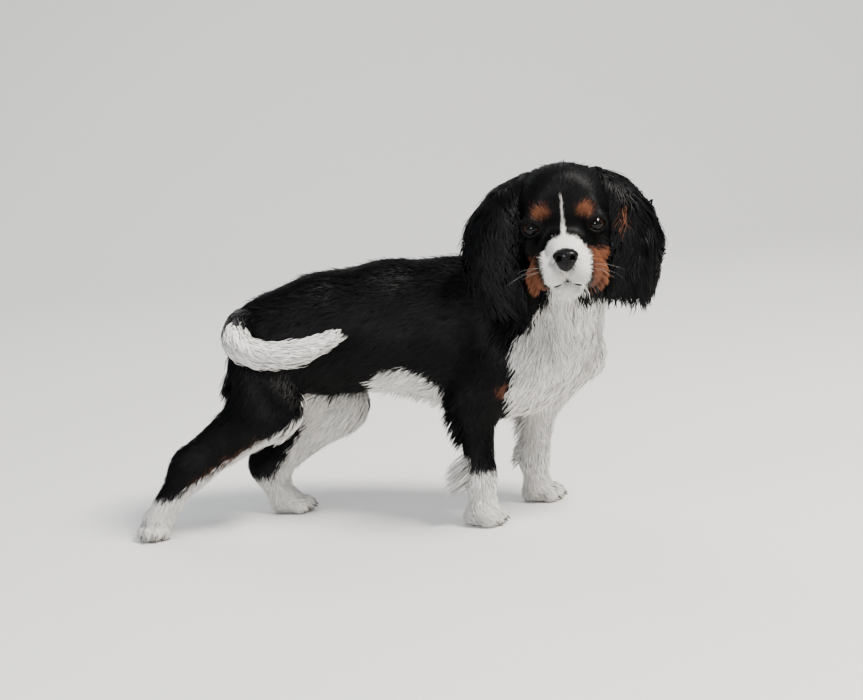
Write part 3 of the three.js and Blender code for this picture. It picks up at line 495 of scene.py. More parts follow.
    def nose_field(self, open_nostrils=True):
        """The field of the nose pad, with or without its nostrils, slits and crease."""
        tip, half = self.nose_front, self.nose_half
        lump = lambda f, l, u, radii: ball(self.in_head(tip + f, l, u), radii, self.head_axes)
        pad = blend(
            3, lump(-5, 0, -22, (6.5, half - 1, 5.5)), lump(-4, 0, -26.5, (6, half - 3.5, 5.5)),
            lump(-6, 0, -30.5, (5, 5, 5)),
        )
        if not open_nostrils:
            return pad
        put = lambda f, l, u: self.in_head(tip + f, l, u)
        holes = []
        for s in (1, -1):
            holes.append(limb(put(-7, 4.4 * s, -23), put(3, 5.8 * s, -23.6), (2.1, 1.9), (2.2, 2.0)))
            holes.append(limb(put(-1.5, 6.4 * s, -24.5), put(-5, 12.5 * s, -27.5), (1.1, 1.1), (0.7, 0.7)))
        crease = limb(put(2.2, 0, -25), put(0.5, 0, -36), (0.7, 0.7), (0.8, 0.8))
        return press(0.9, press(1.0, pad, blend(0.8, *holes)), crease)

    def skin(self):
        """The field of the bare skin."""
        ears = [self.ear(s) for s in (1, -1)]
        tail = self.tail_skin()
        lid, rim, ball_gap = 1.1, 1.3, 0.25
        mouth, _ = self.mouth_path(count=15)
        ahead = self.in_head(70, 0, (-32, -45.5))
        front = settle(self.head, ahead, np.tile(-self.forward, (2, 1)))
        groove = blend(0.6, *chain(mouth, 0.9), *chain(front, 0.8))

        def field(p):
            d = self.whole(p) + self.depth(p)
            for form in ears:
                d = merged(d, form(p), 5)
            d = merged(d, tail(p), 8)
            near = self.by_face(p)
            if near.any():
                q = p[near]
                face = np.maximum(d[near], -groove(q))
                for s in (1, -1):
                    over_ball = self.lid_place(q, s)[3] - self.eye_radius
                    opening = self.almond(q, s)
                    face = merged(face, over_ball - lid, 3)
                    face = np.minimum(face, np.hypot(opening / 1.2, over_ball - 1) - rim)
                    face = np.maximum.reduce([face, -opening, ball_gap - over_ball])
                d[near] = face
            return d

        return field

    # The coat: how it lies, how long and deep it is, and what colour, place by place

    # part, places, reach, lie, length, width, depth, tufts per square millimetre, wave
    BODY_COAT = [
        ("back", [(-14, 40, 226), (-84, 45, 228)], 45, (-1, 0, -0.4), 13, 1.25, 4.6, 0.40, 0.14),
        ("back", [(-150, 42, 208)], 32, (-0.95, 0, -0.55), 13, 1.25, 4.3, 0.40, 0.2),
        ("back", [(-196, 28, 172)], 26, (-0.45, 0, -0.95), 13, 1.2, 4, 0.42, 0.2),
        ("flank", [(-20, -12, 168), (-20, 92, 168)], 34, (-0.9, 0, -0.55), 13, 1.25, 4.6, 0.40, 0.14),
        ("flank", [(-90, -3, 170), (-90, 92, 170)], 34, (-0.9, 0, -0.6), 13, 1.25, 4.3, 0.40, 0.16),
        ("flank", [(-60, 42, 116)], 34, (-0.85, 0, -0.6), 18, 1.25, 4.8, 0.40, 0.3),
        ("flank", [(-130, 40, 126)], 26, (-0.85, 0, -0.6), 15, 1.2, 4.4, 0.40, 0.24),
        ("front", [(40, -12, 165)], 28, (-0.5, 0, -0.85), 14, 1.2, 4.8, 0.40, 0.18),
        ("neck", [(30, 84, 160)], 28, (-0.5, 0, -0.85), 14, 1.25, 4.8, 0.38, 0.18),
        ("neck", [(30, 25, 238)], 24, (-0.9, 0.1, -0.35), 14, 1.25, 4.8, 0.38, 0.2),
        ("neck", [(62, 14, 262)], 22, (-0.6, 0.4, -0.7), 14, 1.25, 4.8, 0.38, 0.2),
        ("front", [(60, -22, 222)], 22, (-0.3, 0.2, -0.95), 17, 1.2, 5.2, 0.40, 0.3),
        ("neck", [(112, 24, 215)], 24, (-0.1, 0.15, -1), 18, 1.2, 5.6, 0.38, 0.35),
        ("front", [(100, -20, 205)], 24, (0, 0.1, -1), 24, 1.15, 6, 0.42, 0.5),
        ("front", [(112, 10, 168)], 26, (-0.12, 0, -1), 27, 1.15, 6.5, 0.42, 0.55),
        ("front", [(84, 16, 122)], 24, (-0.45, 0, -0.9), 22, 1.15, 6, 0.40, 0.45),
        ("leg", [(4, -2, 100), (58, 68, 98)], 17, (-0.15, 0, -1), 10, 1.0, 3.2, 0.54, 0.14),
        ("leg", [(-15, -2, 92), (30, 70, 88)], 10, (-0.7, 0, -0.8), 18, 1.05, 3.4, 0.50, 0.3),
        ("leg", [(4, -2, 60), (43, 73, 60)], 15, (-0.1, 0, -1), 8, 0.95, 2.7, 0.60, 0.1),
        ("leg", [(5, -2, 32), (45, 74, 32)], 11, (0, 0, -1), 6.5, 0.9, 2.2, 0.66, 0.1),
        ("leg", [(-196, 4, 140)], 22, (-0.5, 0, -0.85), 13, 1.1, 3.8, 0.46, 0.2),
        ("leg", [(-232, 6, 128), (-204, 66, 118)], 16, (-0.3, 0, -1), 19, 1.15, 4, 0.44, 0.3),
        ("leg", [(-226, 0, 96)], 18, (-0.8, 0, -0.65), 10, 1.0, 3.2, 0.52, 0.16),
        ("leg", [(-262, -1, 70)], 14, (-0.75, 0, -0.7), 8, 0.95, 2.6, 0.58, 0.1),
        ("leg", [(-286, -3, 40)], 12, (-0.45, 0, -0.9), 7, 0.9, 2.2, 0.62, 0.1),
        ("leg", [(-156, 72, 140)], 22, (-0.1, 0, -1), 13, 1.1, 3.8, 0.46, 0.2),
        ("leg", [(-172, 72, 86)], 18, (-0.75, 0, -0.7), 10, 1.0, 3.2, 0.52, 0.16),
        ("leg", [(-206, 70, 56)], 14, (-0.5, 0, -0.9), 8, 0.95, 2.6, 0.58, 0.1),
        ("leg", [(-209, 69, 34)], 12, (0.1, 0, -1), 7, 0.9, 2.2, 0.62, 0.1),
        ("foot", [(8, -3, 12)], 11, (0.8, -0.1, -0.6), 5.5, 0.85, 1.6, 0.9, 0.1),
        ("foot", [(52, 76, 12), (-186, 66, 12)], 11, (0.8, 0.1, -0.6), 5.5, 0.85, 1.6, 0.9, 0.1),
        ("foot", [(-303, -14, 12)], 11, (0.1, -0.8, -0.6), 5.5, 0.85, 1.6, 0.9, 0.1),
    ]
    # the same on the head, its places and lies ahead, to its left and up from between the eyes: what is
    # off its middle line is on both sides
    HEAD_COAT = [
        ((30, 0, -13), 9, (-1, 0, 0.25), 2.4, 0.55, 0.8, 2.2, 0.0),
        ((12, 0, -7), 10, (-1, 0, 0.45), 2.8, 0.6, 0.9, 1.9, 0.0),
        ((34, 10, -34), 8, (-0.5, 0.45, -0.75), 3.2, 0.6, 1.1, 2.0, 0.08),
        ((14, 24, -36), 11, (-0.8, 0.1, -0.6), 6, 0.65, 1.7, 1.4, 0.12),
        ((14, 0, -56), 11, (-0.9, 0, -0.3), 5, 0.7, 1.5, 1.3, 0.08),
        ((6, 14, -16), 9, (-0.9, 0.35, -0.1), 3.0, 0.6, 0.8, 1.9, 0.0),
        ((0, 0, 4), 9, (-0.3, 0, 1), 3.4, 0.6, 1.0, 1.7, 0.0),
        ((0, 28, -1.5), 7, (-0.6, 0.8, 0.3), 2.2, 0.5, 0.35, 2.4, 0.0),
        ((-3, 22, 17), 9, (-0.5, 0.4, 0.8), 4.0, 0.65, 1.2, 1.5, 0.0),
        ((-8, 0, 32), 14, (-0.6, 0, 0.8), 5.5, 0.75, 1.8, 1.1, 0.05),
        ((-26, 18, 45), 14, (-0.9, 0.5, 0.3), 8, 0.9, 2.6, 0.75, 0.1),
        ((-52, 0, 48), 18, (-1, 0, -0.2), 9, 1.0, 3.0, 0.6, 0.1),
        ((-8, 34, -22), 12, (-0.8, 0.3, -0.6), 7, 0.85, 1.9, 0.9, 0.1),
        ((-26, 38, 10), 14, (-0.8, 0.3, -0.4), 8, 0.9, 2.4, 0.75, 0.1),
        ((-30, 34, -40), 16, (-0.5, 0.1, -0.9), 13, 1.0, 3.4, 0.6, 0.2),
        ((-24, 0, -56), 16, (-0.9, 0, -0.6), 9, 1.0, 3.0, 0.6, 0.15),
        ((-82, 0, 20), 22, (-0.4, 0, -0.95), 12, 1.15, 4.2, 0.45, 0.14),
        ((-78, 0, -20), 20, (-0.4, 0, -0.95), 13, 1.2, 4.6, 0.4, 0.18),
    ]

    def coat_table(self):
        """The places of the coat as arrays: parts, places, reaches, lies, and the rest in columns."""
        rows = [(part, at, *rest) for part, places, *rest in self.BODY_COAT for at in places]
        for (f, l, u), reach, lie, *rest in self.HEAD_COAT:
            for side in (1, -1) if l else (1,):
                way = np.array(lie) * (1, side, 1) @ self.head_axes
                rows.append(("head", self.in_head(f, side * l, u), reach, way, *rest))
        return (
            [row[0] for row in rows],
            np.array([row[1] for row in rows], float),
            np.array([row[2] for row in rows], float),
            unit(np.array([row[3] for row in rows], float)),
            np.array([row[4:] for row in rows], float),
        )

    def by_face(self, p):
        """Whether points are near enough to the face to belong to lids, lips or nose."""
        return np.abs(p - self.EYES_MID).max(-1) < self.FACE_REACH

    def shares(self, p):
        """How much each place of the coat counts at points, in rows that add up to one."""
        _, places, reaches, _, _ = self.table
        apart = ((p[:, None, :] - places[None]) ** 2).sum(-1) / reaches**2
        share = 1 / (apart + 0.02) ** 2.5
        return share / share.sum(1, keepdims=True)

    def depth(self, p):
        """The depth of the coat at points."""
        depth = values_at(lambda q: self.shares(q) @ self.table[4][:, 2], p.reshape(-1, 3), at_once=40000)
        return depth.reshape(p.shape[:-1])

    def by_bone(self, p, side, top, end, at_top, at_end):
        """Where points are by a bone of a leg: down it, ahead of it and inside it, in its own radii."""
        bones = self.LEFT if side > 0 else self.RIGHT
        a, b = np.array(bones[top], float), np.array(bones[end], float)
        axis = b - a
        t = (p - a) @ axis / (axis @ axis)
        held = np.clip(t, 0, 1)[..., None]
        off = p - a - held * axis
        ahead = unit(np.array([-axis[2], 0, axis[0]]))
        deep = at_top[1] + (at_end[1] - at_top[1]) * held[..., 0]
        wide = at_top[0] + (at_end[0] - at_top[0]) * held[..., 0]
        return t, off @ ahead / deep, -side * off[..., 1] / wide, deep

    BLAZE = ([-13, -8, 4, 15, 22, 27, 32], [5, 1.8, 1.0, 0.5, 0.1, -0.8, -5])  # heights and half widths
    BIB = (  # heights, and how far back it goes at each
        [84, 102, 117, 127, 139, 149, 161, 171, 179, 187, 195, 207, 214, 240],
        [36, 41, 44, 42, 47, 50, 46, 50, 56, 65, 68, 74, 83, 98],
    )
    BIB_LEFT = ([150, 172, 188, 212], [130, 62, 34, 24])  # heights, and how far to the left it goes
    BELLY = ([-104, -92, -84, -77, -52, -35, -17, -4], [-60, 108, 136, 148, 149, 142, 128, -60])  # x, top

    def leg_marks(self, p):
        """White and tan of the legs, as distances to their edges, minus within them."""
        x, _, z = np.moveaxis(p, -1, 0)
        white, tan = np.full(x.shape, 40.0), np.full(x.shape, 40.0)
        for side in (1, -1):
            bones = self.LEFT if side > 0 else self.RIGHT
            near = [limb(bones[a], bones[b], *ends)(p) - 3 for a, b, *ends in self.BONES]
            # down the front of the calf, and all over its inner side
            down, ahead, inside, deep = self.by_bone(p, side, *self.BONES[4])
            stripe = (0.72 - ahead) * deep
            inner = np.maximum((0.1 - inside) * 12, (0.9 * np.clip(down, 0, 1) - 0.38 - ahead) * deep)
            calf = np.maximum(np.minimum(stripe, inner), (-0.3 - down) * 60)
            # the thigh's front edge, and its inner side up to a height
            t, front, within, _ = self.by_bone(p, side, *self.BONES[3])
            edge, top, inner_top = (0.45, 122, 124) if side > 0 else (0.86, 106, 106)
            inner = np.maximum.reduce([(0.45 - within) * 20, (-0.9 - front) * 20, z - inner_top])
            thigh = np.minimum(inner, np.maximum((edge - front) * 30, z - top))
            thigh = np.maximum(thigh, (t - 1.1) * 40)
            hind = np.minimum.reduce([calf, thigh, z - 39 - 0.1 * (x + 285) * (side < 0)])
            white = np.minimum(white, np.maximum(hind, np.minimum.reduce(near[3:])))
            # tan along the edge of the calf's white, on its outer side
            edge = np.maximum(np.abs(stripe - 2.2) - 1.6, inside * 14) + 0.9 + 1.2 * ripple(p, 26)
            tan = np.minimum(tan, np.maximum.reduce([edge, (0.1 - down) * 60, near[4]]))
            # the left foreleg up to its elbow, the right one up to its wrist and higher behind
            _, ahead, _, deep = self.by_bone(p, side, *self.BONES[1])
            fore = z - 118 if side > 0 else np.minimum(z - 55, np.maximum((ahead + 0.5) * deep, z - 70))
            white = np.minimum(white, np.maximum(fore, np.minimum.reduce(near[1:3])))
        white = np.minimum(white, self.paws(p) + np.maximum(z - 26, 0))
        return white, tan

    def marks(self, p):
        """How white and how tan the coat is at points."""
        x, y, z = np.moveaxis(p, -1, 0)
        q = self.of_head(p)
        f, l, u = np.moveaxis(q, -1, 0)
        rough = ripple(p, 15) + 0.6 * ripple(p, 6, 1.0)
        # muzzle, chin and the thin blaze
        muzzle = (np.hypot(l / 19.5, (u + 32) / 23.5) - 1) * 20
        muzzle = np.maximum(muzzle, -8 - f) + 0.7 * rough
        chin = np.maximum(np.abs(l) - 14, u + 43) + rough
        blaze = np.abs(l + 0.6) - np.interp(u, *self.BLAZE)
        blaze = np.maximum(blaze, -14 - f) + 0.15 * rough
        face = np.minimum.reduce([muzzle, chin, blaze])
        # bib, belly, legs and tail
        under_ear = np.minimum(x - 110 + 0.5 * np.minimum(z - 208, 12), z - 213)
        behind, beside = np.interp(z, *self.BIB) - x, y - np.interp(z, *self.BIB_LEFT)
        bib = np.maximum.reduce([behind, under_ear, beside, 86 - z]) + 1.7 * rough
        belly = z - np.interp(x, *self.BELLY) + 0.5 * np.maximum(y - 42, 0) + 0.8 * rough
        legs, tan_legs = self.leg_marks(p)
        path, _ = self.tail_path(25)
        tail = blend(2, *chain(path[10:], 17))(p)
        body = np.minimum.reduce([bib, belly, legs + rough, tail + rough])
        on_head = self.head_only(p)
        d = np.where(on_head, face, body)
        edge = np.where(on_head, 0.6, 1.5)
        white = smooth(1, -1, d / edge)
        # tan over the eyes, on the cheeks, in the upper part of the left ear and along the hind legs
        tans = []
        for s in (1, -1):
            tans.append((np.hypot((l - 18 * s) / 8, (u - 10) / 6.5) - 1) * 6.5 + np.maximum(-16 - f, 0) + 0.8)
            # painted shade: the right cheek's tan is set 3 mm lower and 6 mm less tall than the left's, as
            # that cheek lies in shade; the tan itself is the coat's own
            low = 3 * (s < 0)
            tans.append(ball((4, 29 * s, -37 - low), (33, 15, 17.5 - low))(q) + 1.4 * ripple(p, 5))
        tans.append(ball((-24, 52, 16), (12, 3.5, 13))(q) + 2.2 + 1.3 * ripple(p, 5))
        d = np.minimum.reduce(tans) + 0.8 * rough
        tan = smooth(2.0, -2.4, d)
        shoulder = ball((38, -27, 131), (7, 10, 9))(p)
        tan = np.maximum(tan, 0.7 * smooth(1.2, -1.2, np.minimum(tan_legs, shoulder) + rough))
        on_ear = np.minimum(self.ear(1)(p), self.ear(-1)(p)) < 2.5
        on_nose = self.nose_field(False)(p) < 0.9
        white, tan = np.where(on_ear | on_nose, 0, white), np.where(on_nose, 0, tan)
        return white, np.where(on_head | on_ear | (z < 200), tan, 0)

    def head_only(self, p):
        """Whether points belong to the head rather than the neck and body."""
        return (self.head(p) < self.body(p) + 1.0) & (p[:, 2] > 205)


# Meshes from fields and arrays

CORNERS = np.array([(c & 1, c >> 1 & 1, c >> 2 & 1) for c in range(8)])
EDGES = [(a, a | bit) for a in range(8) for bit in (1, 2, 4) if not a & bit]


def lines(low, *stretches):
    """Grid lines from low to high, from stretches given as (end, cell)."""
    at = [np.array([low], float)]
    for end, cell in stretches:
        start = at[-1][-1]
        count = math.ceil((end - start) / cell)
        at.append(np.linspace(start, end, count + 1)[1:])
    return np.concatenate(at)


def sample(field, grid, coarse=4, near=15):
    """A field's values on a grid, worked out in full only near its surface."""
    picks = [np.unique(np.append(np.arange(0, len(at), coarse), len(at) - 1)) for at in grid]
    rough = np.stack(np.meshgrid(*[at[i] for at, i in zip(grid, picks)], indexing="ij"), -1)
    shape = rough.shape[:-1]
    rough = values_at(field, rough.reshape(-1, 3)).reshape(shape)
    nearest = [np.abs(np.arange(len(at))[:, None] - i[None]).argmin(1) for at, i in zip(grid, picks)]
    values = rough[np.ix_(*nearest)]
    i, j, k = np.nonzero(np.abs(values) < near)
    values[i, j, k] = values_at(field, np.stack([grid[0][i], grid[1][j], grid[2][k]], -1))
    for axis in range(3):
        edge = [slice(None)] * 3
        for end in (0, -1):
            edge[axis] = end
            values[tuple(edge)] = np.maximum(values[tuple(edge)], 0.5)
    return values


def values_at(field, p, at_once=60000):
    """A field's values at points, worked out in stretches that fit in memory."""
    out = np.empty(len(p))
    for i in range(0, len(p), at_once):
        out[i : i + at_once] = field(p[i : i + at_once])
    return out


def surface(field, grid, near=15):
    """The closed surface of a field on a grid: its points, and its four-sided faces."""
    values = sample(field, grid, near=near)
    inside = values < 0
    cell = np.zeros(tuple(n - 1 for n in values.shape), int)
    for c, (a, b, d) in enumerate(CORNERS):
        cell += inside[a : a + cell.shape[0], b : b + cell.shape[1], d : d + cell.shape[2]].astype(int) << c
    at = np.nonzero((cell > 0) & (cell < 255))
    number = np.full(cell.shape, -1)
    number[at] = np.arange(len(at[0]))
    v = np.stack([values[at[0] + a, at[1] + b, at[2] + c] for a, b, c in CORNERS], -1)
    total = np.zeros((len(v), 3))
    count = np.zeros(len(v))
    for a, b in EDGES:
        crossed = (v[:, a] < 0) != (v[:, b] < 0)
        t = np.where(crossed, v[:, a] / np.where(crossed, v[:, a] - v[:, b], 1), 0)
        total += crossed[:, None] * (CORNERS[a] + t[:, None] * (CORNERS[b] - CORNERS[a]))
        count += crossed
    low = np.stack([grid[i][at[i]] for i in range(3)], -1)
    size = np.stack([grid[i][at[i] + 1] - grid[i][at[i]] for i in range(3)], -1)
    points = low + total / count[:, None] * size
    step = size.min(1) * 0.5
    for _ in range(2):
        d = np.clip(values_at(field, points), -step, step)
        points -= outward(lambda q: values_at(field, q), points) * d[:, None] * 0.9
    faces = []
    for axis in range(3):
        u, w = (axis + 1) % 3, (axis + 2) % 3
        a = np.moveaxis(inside, (axis, u, w), (0, 1, 2))
        n = np.moveaxis(number, (axis, u, w), (0, 1, 2))
        i, j, k = np.nonzero(a[:-1, 1:-1, 1:-1] != a[1:, 1:-1, 1:-1])
        j, k = j + 1, k + 1
        quad = np.stack([n[i, j - 1, k - 1], n[i, j, k - 1], n[i, j, k], n[i, j - 1, k]], -1)
        flip = ~a[i, j, k]
        quad[flip] = quad[flip][:, ::-1]
        faces.append(quad)
    return points, np.concatenate(faces)


def new_mesh(name, points, faces):
    """An object from points in metres and faces, given as lists of arrays whose rows are faces."""
    faces = faces if isinstance(faces, list) else [faces]
    mesh = bpy.data.meshes.new(name)
    loops = np.concatenate([f.ravel() for f in faces])
    sizes = np.concatenate([np.full(len(f), f.shape[1]) for f in faces])
    mesh.vertices.add(len(points))
    mesh.vertices.foreach_set("co", np.asarray(points, np.float32).ravel())
    mesh.loops.add(len(loops))
    mesh.loops.foreach_set("vertex_index", loops.astype(np.int32))
    mesh.polygons.add(len(sizes))
    mesh.polygons.foreach_set("loop_start", np.concatenate([[0], np.cumsum(sizes)[:-1]]).astype(np.int32))
    mesh.polygons.foreach_set("loop_total", sizes.astype(np.int32))
    mesh.polygons.foreach_set("use_smooth", np.full(len(sizes), True))
    mesh.update(calc_edges=True)
    mesh.validate()
    thing = bpy.data.objects.new(name, mesh)
    bpy.context.scene.collection.objects.link(thing)
    return thing


def read(items, name, width, kind=np.float32):
    """A property of all items of a mesh, in rows of a width."""
    values = np.empty(len(items) * width, kind)
    items.foreach_get(name, values)
    return values.reshape(-1, width)


def colour_points(thing, values):
    """Keeps four numbers for each point: how white, how tan, how light, and how far along the hair."""
    layer = thing.data.attributes.new(COAT_MARKS, "FLOAT_COLOR", "POINT")
    layer.data.foreach_set("color", np.asarray(values, np.float32).ravel())


def map_points(thing, uv):
    """Gives a mesh its baking map from one place for each point."""
    layer = thing.data.uv_layers.new(name=BAKE_MAP)
    corners = read(thing.data.loops, "vertex_index", 1, np.int32)[:, 0]
    layer.data.foreach_set("uv", np.asarray(uv, np.float32)[corners].ravel())


def select_only(thing):
    """Selects one object and makes it active."""
    bpy.ops.object.select_all(action="DESELECT")
    thing.select_set(True)
    bpy.context.view_layer.objects.active = thing


def loft(path, across, up, wide, tall, sides=8, ring=False):
    """Points and faces of a closed rod along a path, its oval section given for each point."""
    turn = np.linspace(0, 2 * math.pi, sides, endpoint=False)
    cos, sin = np.cos(turn)[None, :, None], np.sin(turn)[None, :, None]
    wide, tall = np.asarray(wide)[:, None, None], np.asarray(tall)[:, None, None]
    points = path[:, None] + across[:, None] * cos * wide + up[:, None] * sin * tall
    n = len(path)
    i = np.arange(n if ring else n - 1)[:, None] * sides
    j = np.arange(sides)[None]
    k = (j + 1) % sides
    below, above = i, (i + sides) % (n * sides)
    quads = np.stack([below + j, below + k, above + k, above + j], -1).reshape(-1, 4)
    points = points.reshape(-1, 3)
    if ring:
        return points, [quads]
    ends = [np.arange(sides)[::-1][None], (n - 1) * sides + np.arange(sides)[None]]
    return points, [quads, np.concatenate(ends)]


def facing_out(thing):
    """Turns a closed mesh's faces outwards."""
    select_only(thing)
    bpy.ops.object.mode_set(mode="EDIT")
    bpy.ops.mesh.select_all(action="SELECT")
    bpy.ops.mesh.normals_make_consistent(inside=False)
    bpy.ops.object.mode_set(mode="OBJECT")


def joined(name, parts):
    """One object from several (points, faces) in metres."""
    points, by_sides = [], {}
    start = 0
    for p, faces in parts:
        for f in faces:
            by_sides.setdefault(f.shape[1], []).append(f + start)
        points.append(p)
        start += len(p)
    return new_mesh(name, np.concatenate(points), [np.concatenate(f) for f in by_sides.values()])


# The coat, grown in tufts from roots on the skin


def scatter(skin, puppy, wanted, rng):
    """Roots spread over the skin: their places, outward directions and places on its baking map.

    wanted takes points and gives tufts per square millimetre.
    """
    mesh = skin.data
    mesh.calc_loop_triangles()
    tri = puppy.drawn(read(mesh.vertices, "co", 3))[read(mesh.loop_triangles, "vertices", 3, np.int32)]
    uv = read(mesh.uv_layers[BAKE_MAP].data, "uv", 2)[read(mesh.loop_triangles, "loops", 3, np.int32)]
    cross = np.cross(tri[:, 1] - tri[:, 0], tri[:, 2] - tri[:, 0])
    area = np.linalg.norm(cross, axis=1) / 2
    share = area * wanted(tri.mean(1))
    order = np.lexsort((tri[:, 0, 1] // 6, tri[:, 0, 2] // 6, tri[:, 0, 0] // 6))
    reach = np.cumsum(share[order])
    marks = np.arange(rng.random(), reach[-1], 1.0)
    pick = order[np.searchsorted(reach, marks)]
    a, b = rng.random((2, len(pick), 1))
    over = (a + b) > 1
    a, b = np.where(over, 1 - a, a), np.where(over, 1 - b, b)
    put = lambda x: x[pick, 0] + a * (x[pick, 1] - x[pick, 0]) + b * (x[pick, 2] - x[pick, 0])
    return put(tri), unit(cross)[pick], put(uv)


def varied(rng, count, spread, low=0.6, high=1.5, middle=1.0):
    """Factors that differ from tuft to tuft."""
    return np.clip(rng.normal(middle, spread, count), low, high)


def gather(roots, path, every, pull, rng, apart=0.12):
    """Draws each so many tufts together by a share towards their ends, so that they hang in locks.

    Of their distance from each other, the share apart is left.
    """
    heads = rng.choice(len(roots), max(1, len(roots) // every), replace=False)
    tree = kdtree.KDTree(len(heads))
    for i, h in enumerate(heads):
        tree.insert(roots[h], i)
    tree.balance()
    own = np.array([heads[tree.find(r)[1]] for r in roots])
    steps = path.shape[1]
    share = (pull * np.linspace(0, 1, steps) ** 1.3)[None, :, None]
    offset = (roots - roots[own])[:, None]
    return path * (1 - share) + (path[own] + offset * apart) * share


def combed(field, roots, normals, lie, length, rise, wave, steps, rng, follow=1.0, loose=0.16):
    """Paths of tufts that lie along the skin, kept at a height over it, in rows of points.

    Each point is drawn to its height by the share follow, and each tuft strays from its lie by loose.
    """
    q = roots.copy()
    n = normals.copy()
    path = [roots - normals * 0.5]
    d = unit(across_to(lie, n))
    stray = rng.normal(0, 1, len(q)) * loose
    phase = 2.4 * ripple(roots, 34) + 0.8 * ripple(roots, 11, 2.0)
    turn = 1.0 + 0.25 * ripple(roots, 50, 1.0)
    for k in range(1, steps + 1):
        s = k / steps
        side = np.cross(n, d)
        bend = stray + wave * np.cos(phase * 1.6 + 2 * math.pi * turn * s)
        way = unit(d + side * bend[:, None])
        q = q + way * (length / steps)[:, None]
        wanted = rise * (1 - (1 - s) ** 2) * 0.9
        q += n * (follow * (wanted - values_at(field, q)))[:, None]
        path.append(q.copy())
        if k < steps:
            n = outward(lambda x: values_at(field, x), q)
            d = unit(across_to(lie, n))
    return np.stack(path, 1)


def tuft_mesh(name, puppy, path, normals, width, uv, tints, soft=0.62):
    """A joined mesh of tufts, each three-sided and drawn out to a point.

    Their shading leans towards the skin's own by the share soft, as it does where hairs are too
    many and too thin to tell apart.
    """
    count, steps = path.shape[0], path.shape[1] - 1
    profile = [0.9, 0.85] if steps < 3 else [0.75, 1.0, 0.95, 0.8, 0.6]
    rings, shading = [], []
    for k in range(steps):
        tangent = unit(path[:, k + 1] - path[:, max(k - 1, 0)])
        up = unit(across_to(normals, tangent))
        side = np.cross(tangent, up)
        half = (width * profile[k] / 2)[:, None]
        rings += [path[:, k] - side * half, path[:, k] + side * half, path[:, k] + up * half * 0.8]
        mean = unit(0.4 * normals + 0.6 * up)
        shading += [mean * soft + way * (1 - soft) for way in (-side, side, up)]
    points = np.stack([*rings, path[:, -1]], 1)
    shading = unit(np.stack([*shading, mean], 1))
    points[..., 2] = np.maximum(points[..., 2], LOWEST)
    n = 3 * steps + 1
    quads, tris = [], [(0, 1, 2)]
    for k in range(steps - 1):
        for a in range(3):
            b = (a + 1) % 3
            quads.append((3 * k + b, 3 * k + a, 3 * k + 3 + a, 3 * k + 3 + b))
    for a in range(3):
        tris.append((3 * steps - 3 + (a + 1) % 3, 3 * steps - 3 + a, n - 1))
    start = (np.arange(count) * n)[:, None, None]
    faces = [(np.array(tris)[None] + start).reshape(-1, 3)]
    if quads:
        faces.insert(0, (np.array(quads)[None] + start).reshape(-1, 4))
    thing = new_mesh(name, puppy.placed(points.reshape(-1, 3)), faces)
    layer = thing.data.attributes.new("custom_normal", "FLOAT_VECTOR", "POINT")
    layer.data.foreach_set("vector", shading.astype(np.float32).ravel())
    along = np.append(np.repeat(np.arange(steps) / steps, 3), 1.0)
    values = np.empty((count, n, 4))
    values[:, :, :3] = tints[:, None]
    values[:, :, 3] = along
    colour_points(thing, values.reshape(-1, 4))
    aside = np.append(np.tile([-BAKE_PATCH / 2, BAKE_PATCH / 2, 0], steps), 0)
    spot = np.stack([aside, (along - 0.5) * BAKE_PATCH], -1)
    map_points(thing, (uv[:, None] + spot[None]).reshape(-1, 2))
    return thing


# Materials


def linear(code):
    """An sRGB hex colour as linear red, green, blue and alpha."""
    channels = [int(code[i : i + 2], 16) / 255 for i in (0, 2, 4)]
    return [c / 12.92 if c <= 0.04045 else ((c + 0.055) / 1.055) ** 2.4 for c in channels] + [1.0]


def add(tree, kind, inputs=None, **settings):
    """Adds a node with its settings, and gives each input named a value or a link."""
    node = tree.nodes.new(kind)
    for name, value in settings.items():
        setattr(node, name, value)
    for name, value in (inputs or {}).items():
        if isinstance(value, bpy.types.NodeSocket):
            tree.links.new(value, node.inputs[name])
        else:
            node.inputs[name].default_value = value
    return node


def new_material(name):
    """A material without nodes, and its node tree."""
    material = bpy.data.materials.new(name)
    material.use_nodes = True
    material.node_tree.nodes.clear()
    return material, material.node_tree


# Inputs of a Mix node that is set to colours
SHARE, FIRST, SECOND, MIXED = 0, 6, 7, 2
MIX = dict(data_type="RGBA", blend_type="MIX")
MULTIPLY = dict(data_type="RGBA", blend_type="MULTIPLY")


def coat_colour(tree, coat, low, high):
    """The coat's colour from its marks: black, white and tan, lighter or darker from tuft to tuft."""
    marks = add(tree, "ShaderNodeAttribute", attribute_type="GEOMETRY", attribute_name=COAT_MARKS)
    parts = add(tree, "ShaderNodeSeparateColor", {"Color": marks.outputs["Color"]})
    white, tan, light = (parts.outputs[i] for i in range(3))
    dark = add(tree, "ShaderNodeMix", {
        SHARE: tan, FIRST: linear(coat.black), SECOND: linear(coat.tan),
    }, **MIX)
    marked = add(tree, "ShaderNodeMix", {
        SHARE: white, FIRST: dark.outputs[MIXED], SECOND: linear(coat.white),
    }, **MIX)
    light = add(tree, "ShaderNodeMapRange", {"Value": light, "To Min": low, "To Max": high})
    colour = add(tree, "ShaderNodeMix", {
        SHARE: 1.0, FIRST: marked.outputs[MIXED], SECOND: light.outputs[0],
    }, **MULTIPLY)
    return colour.outputs[MIXED], white, marks.outputs["Alpha"]


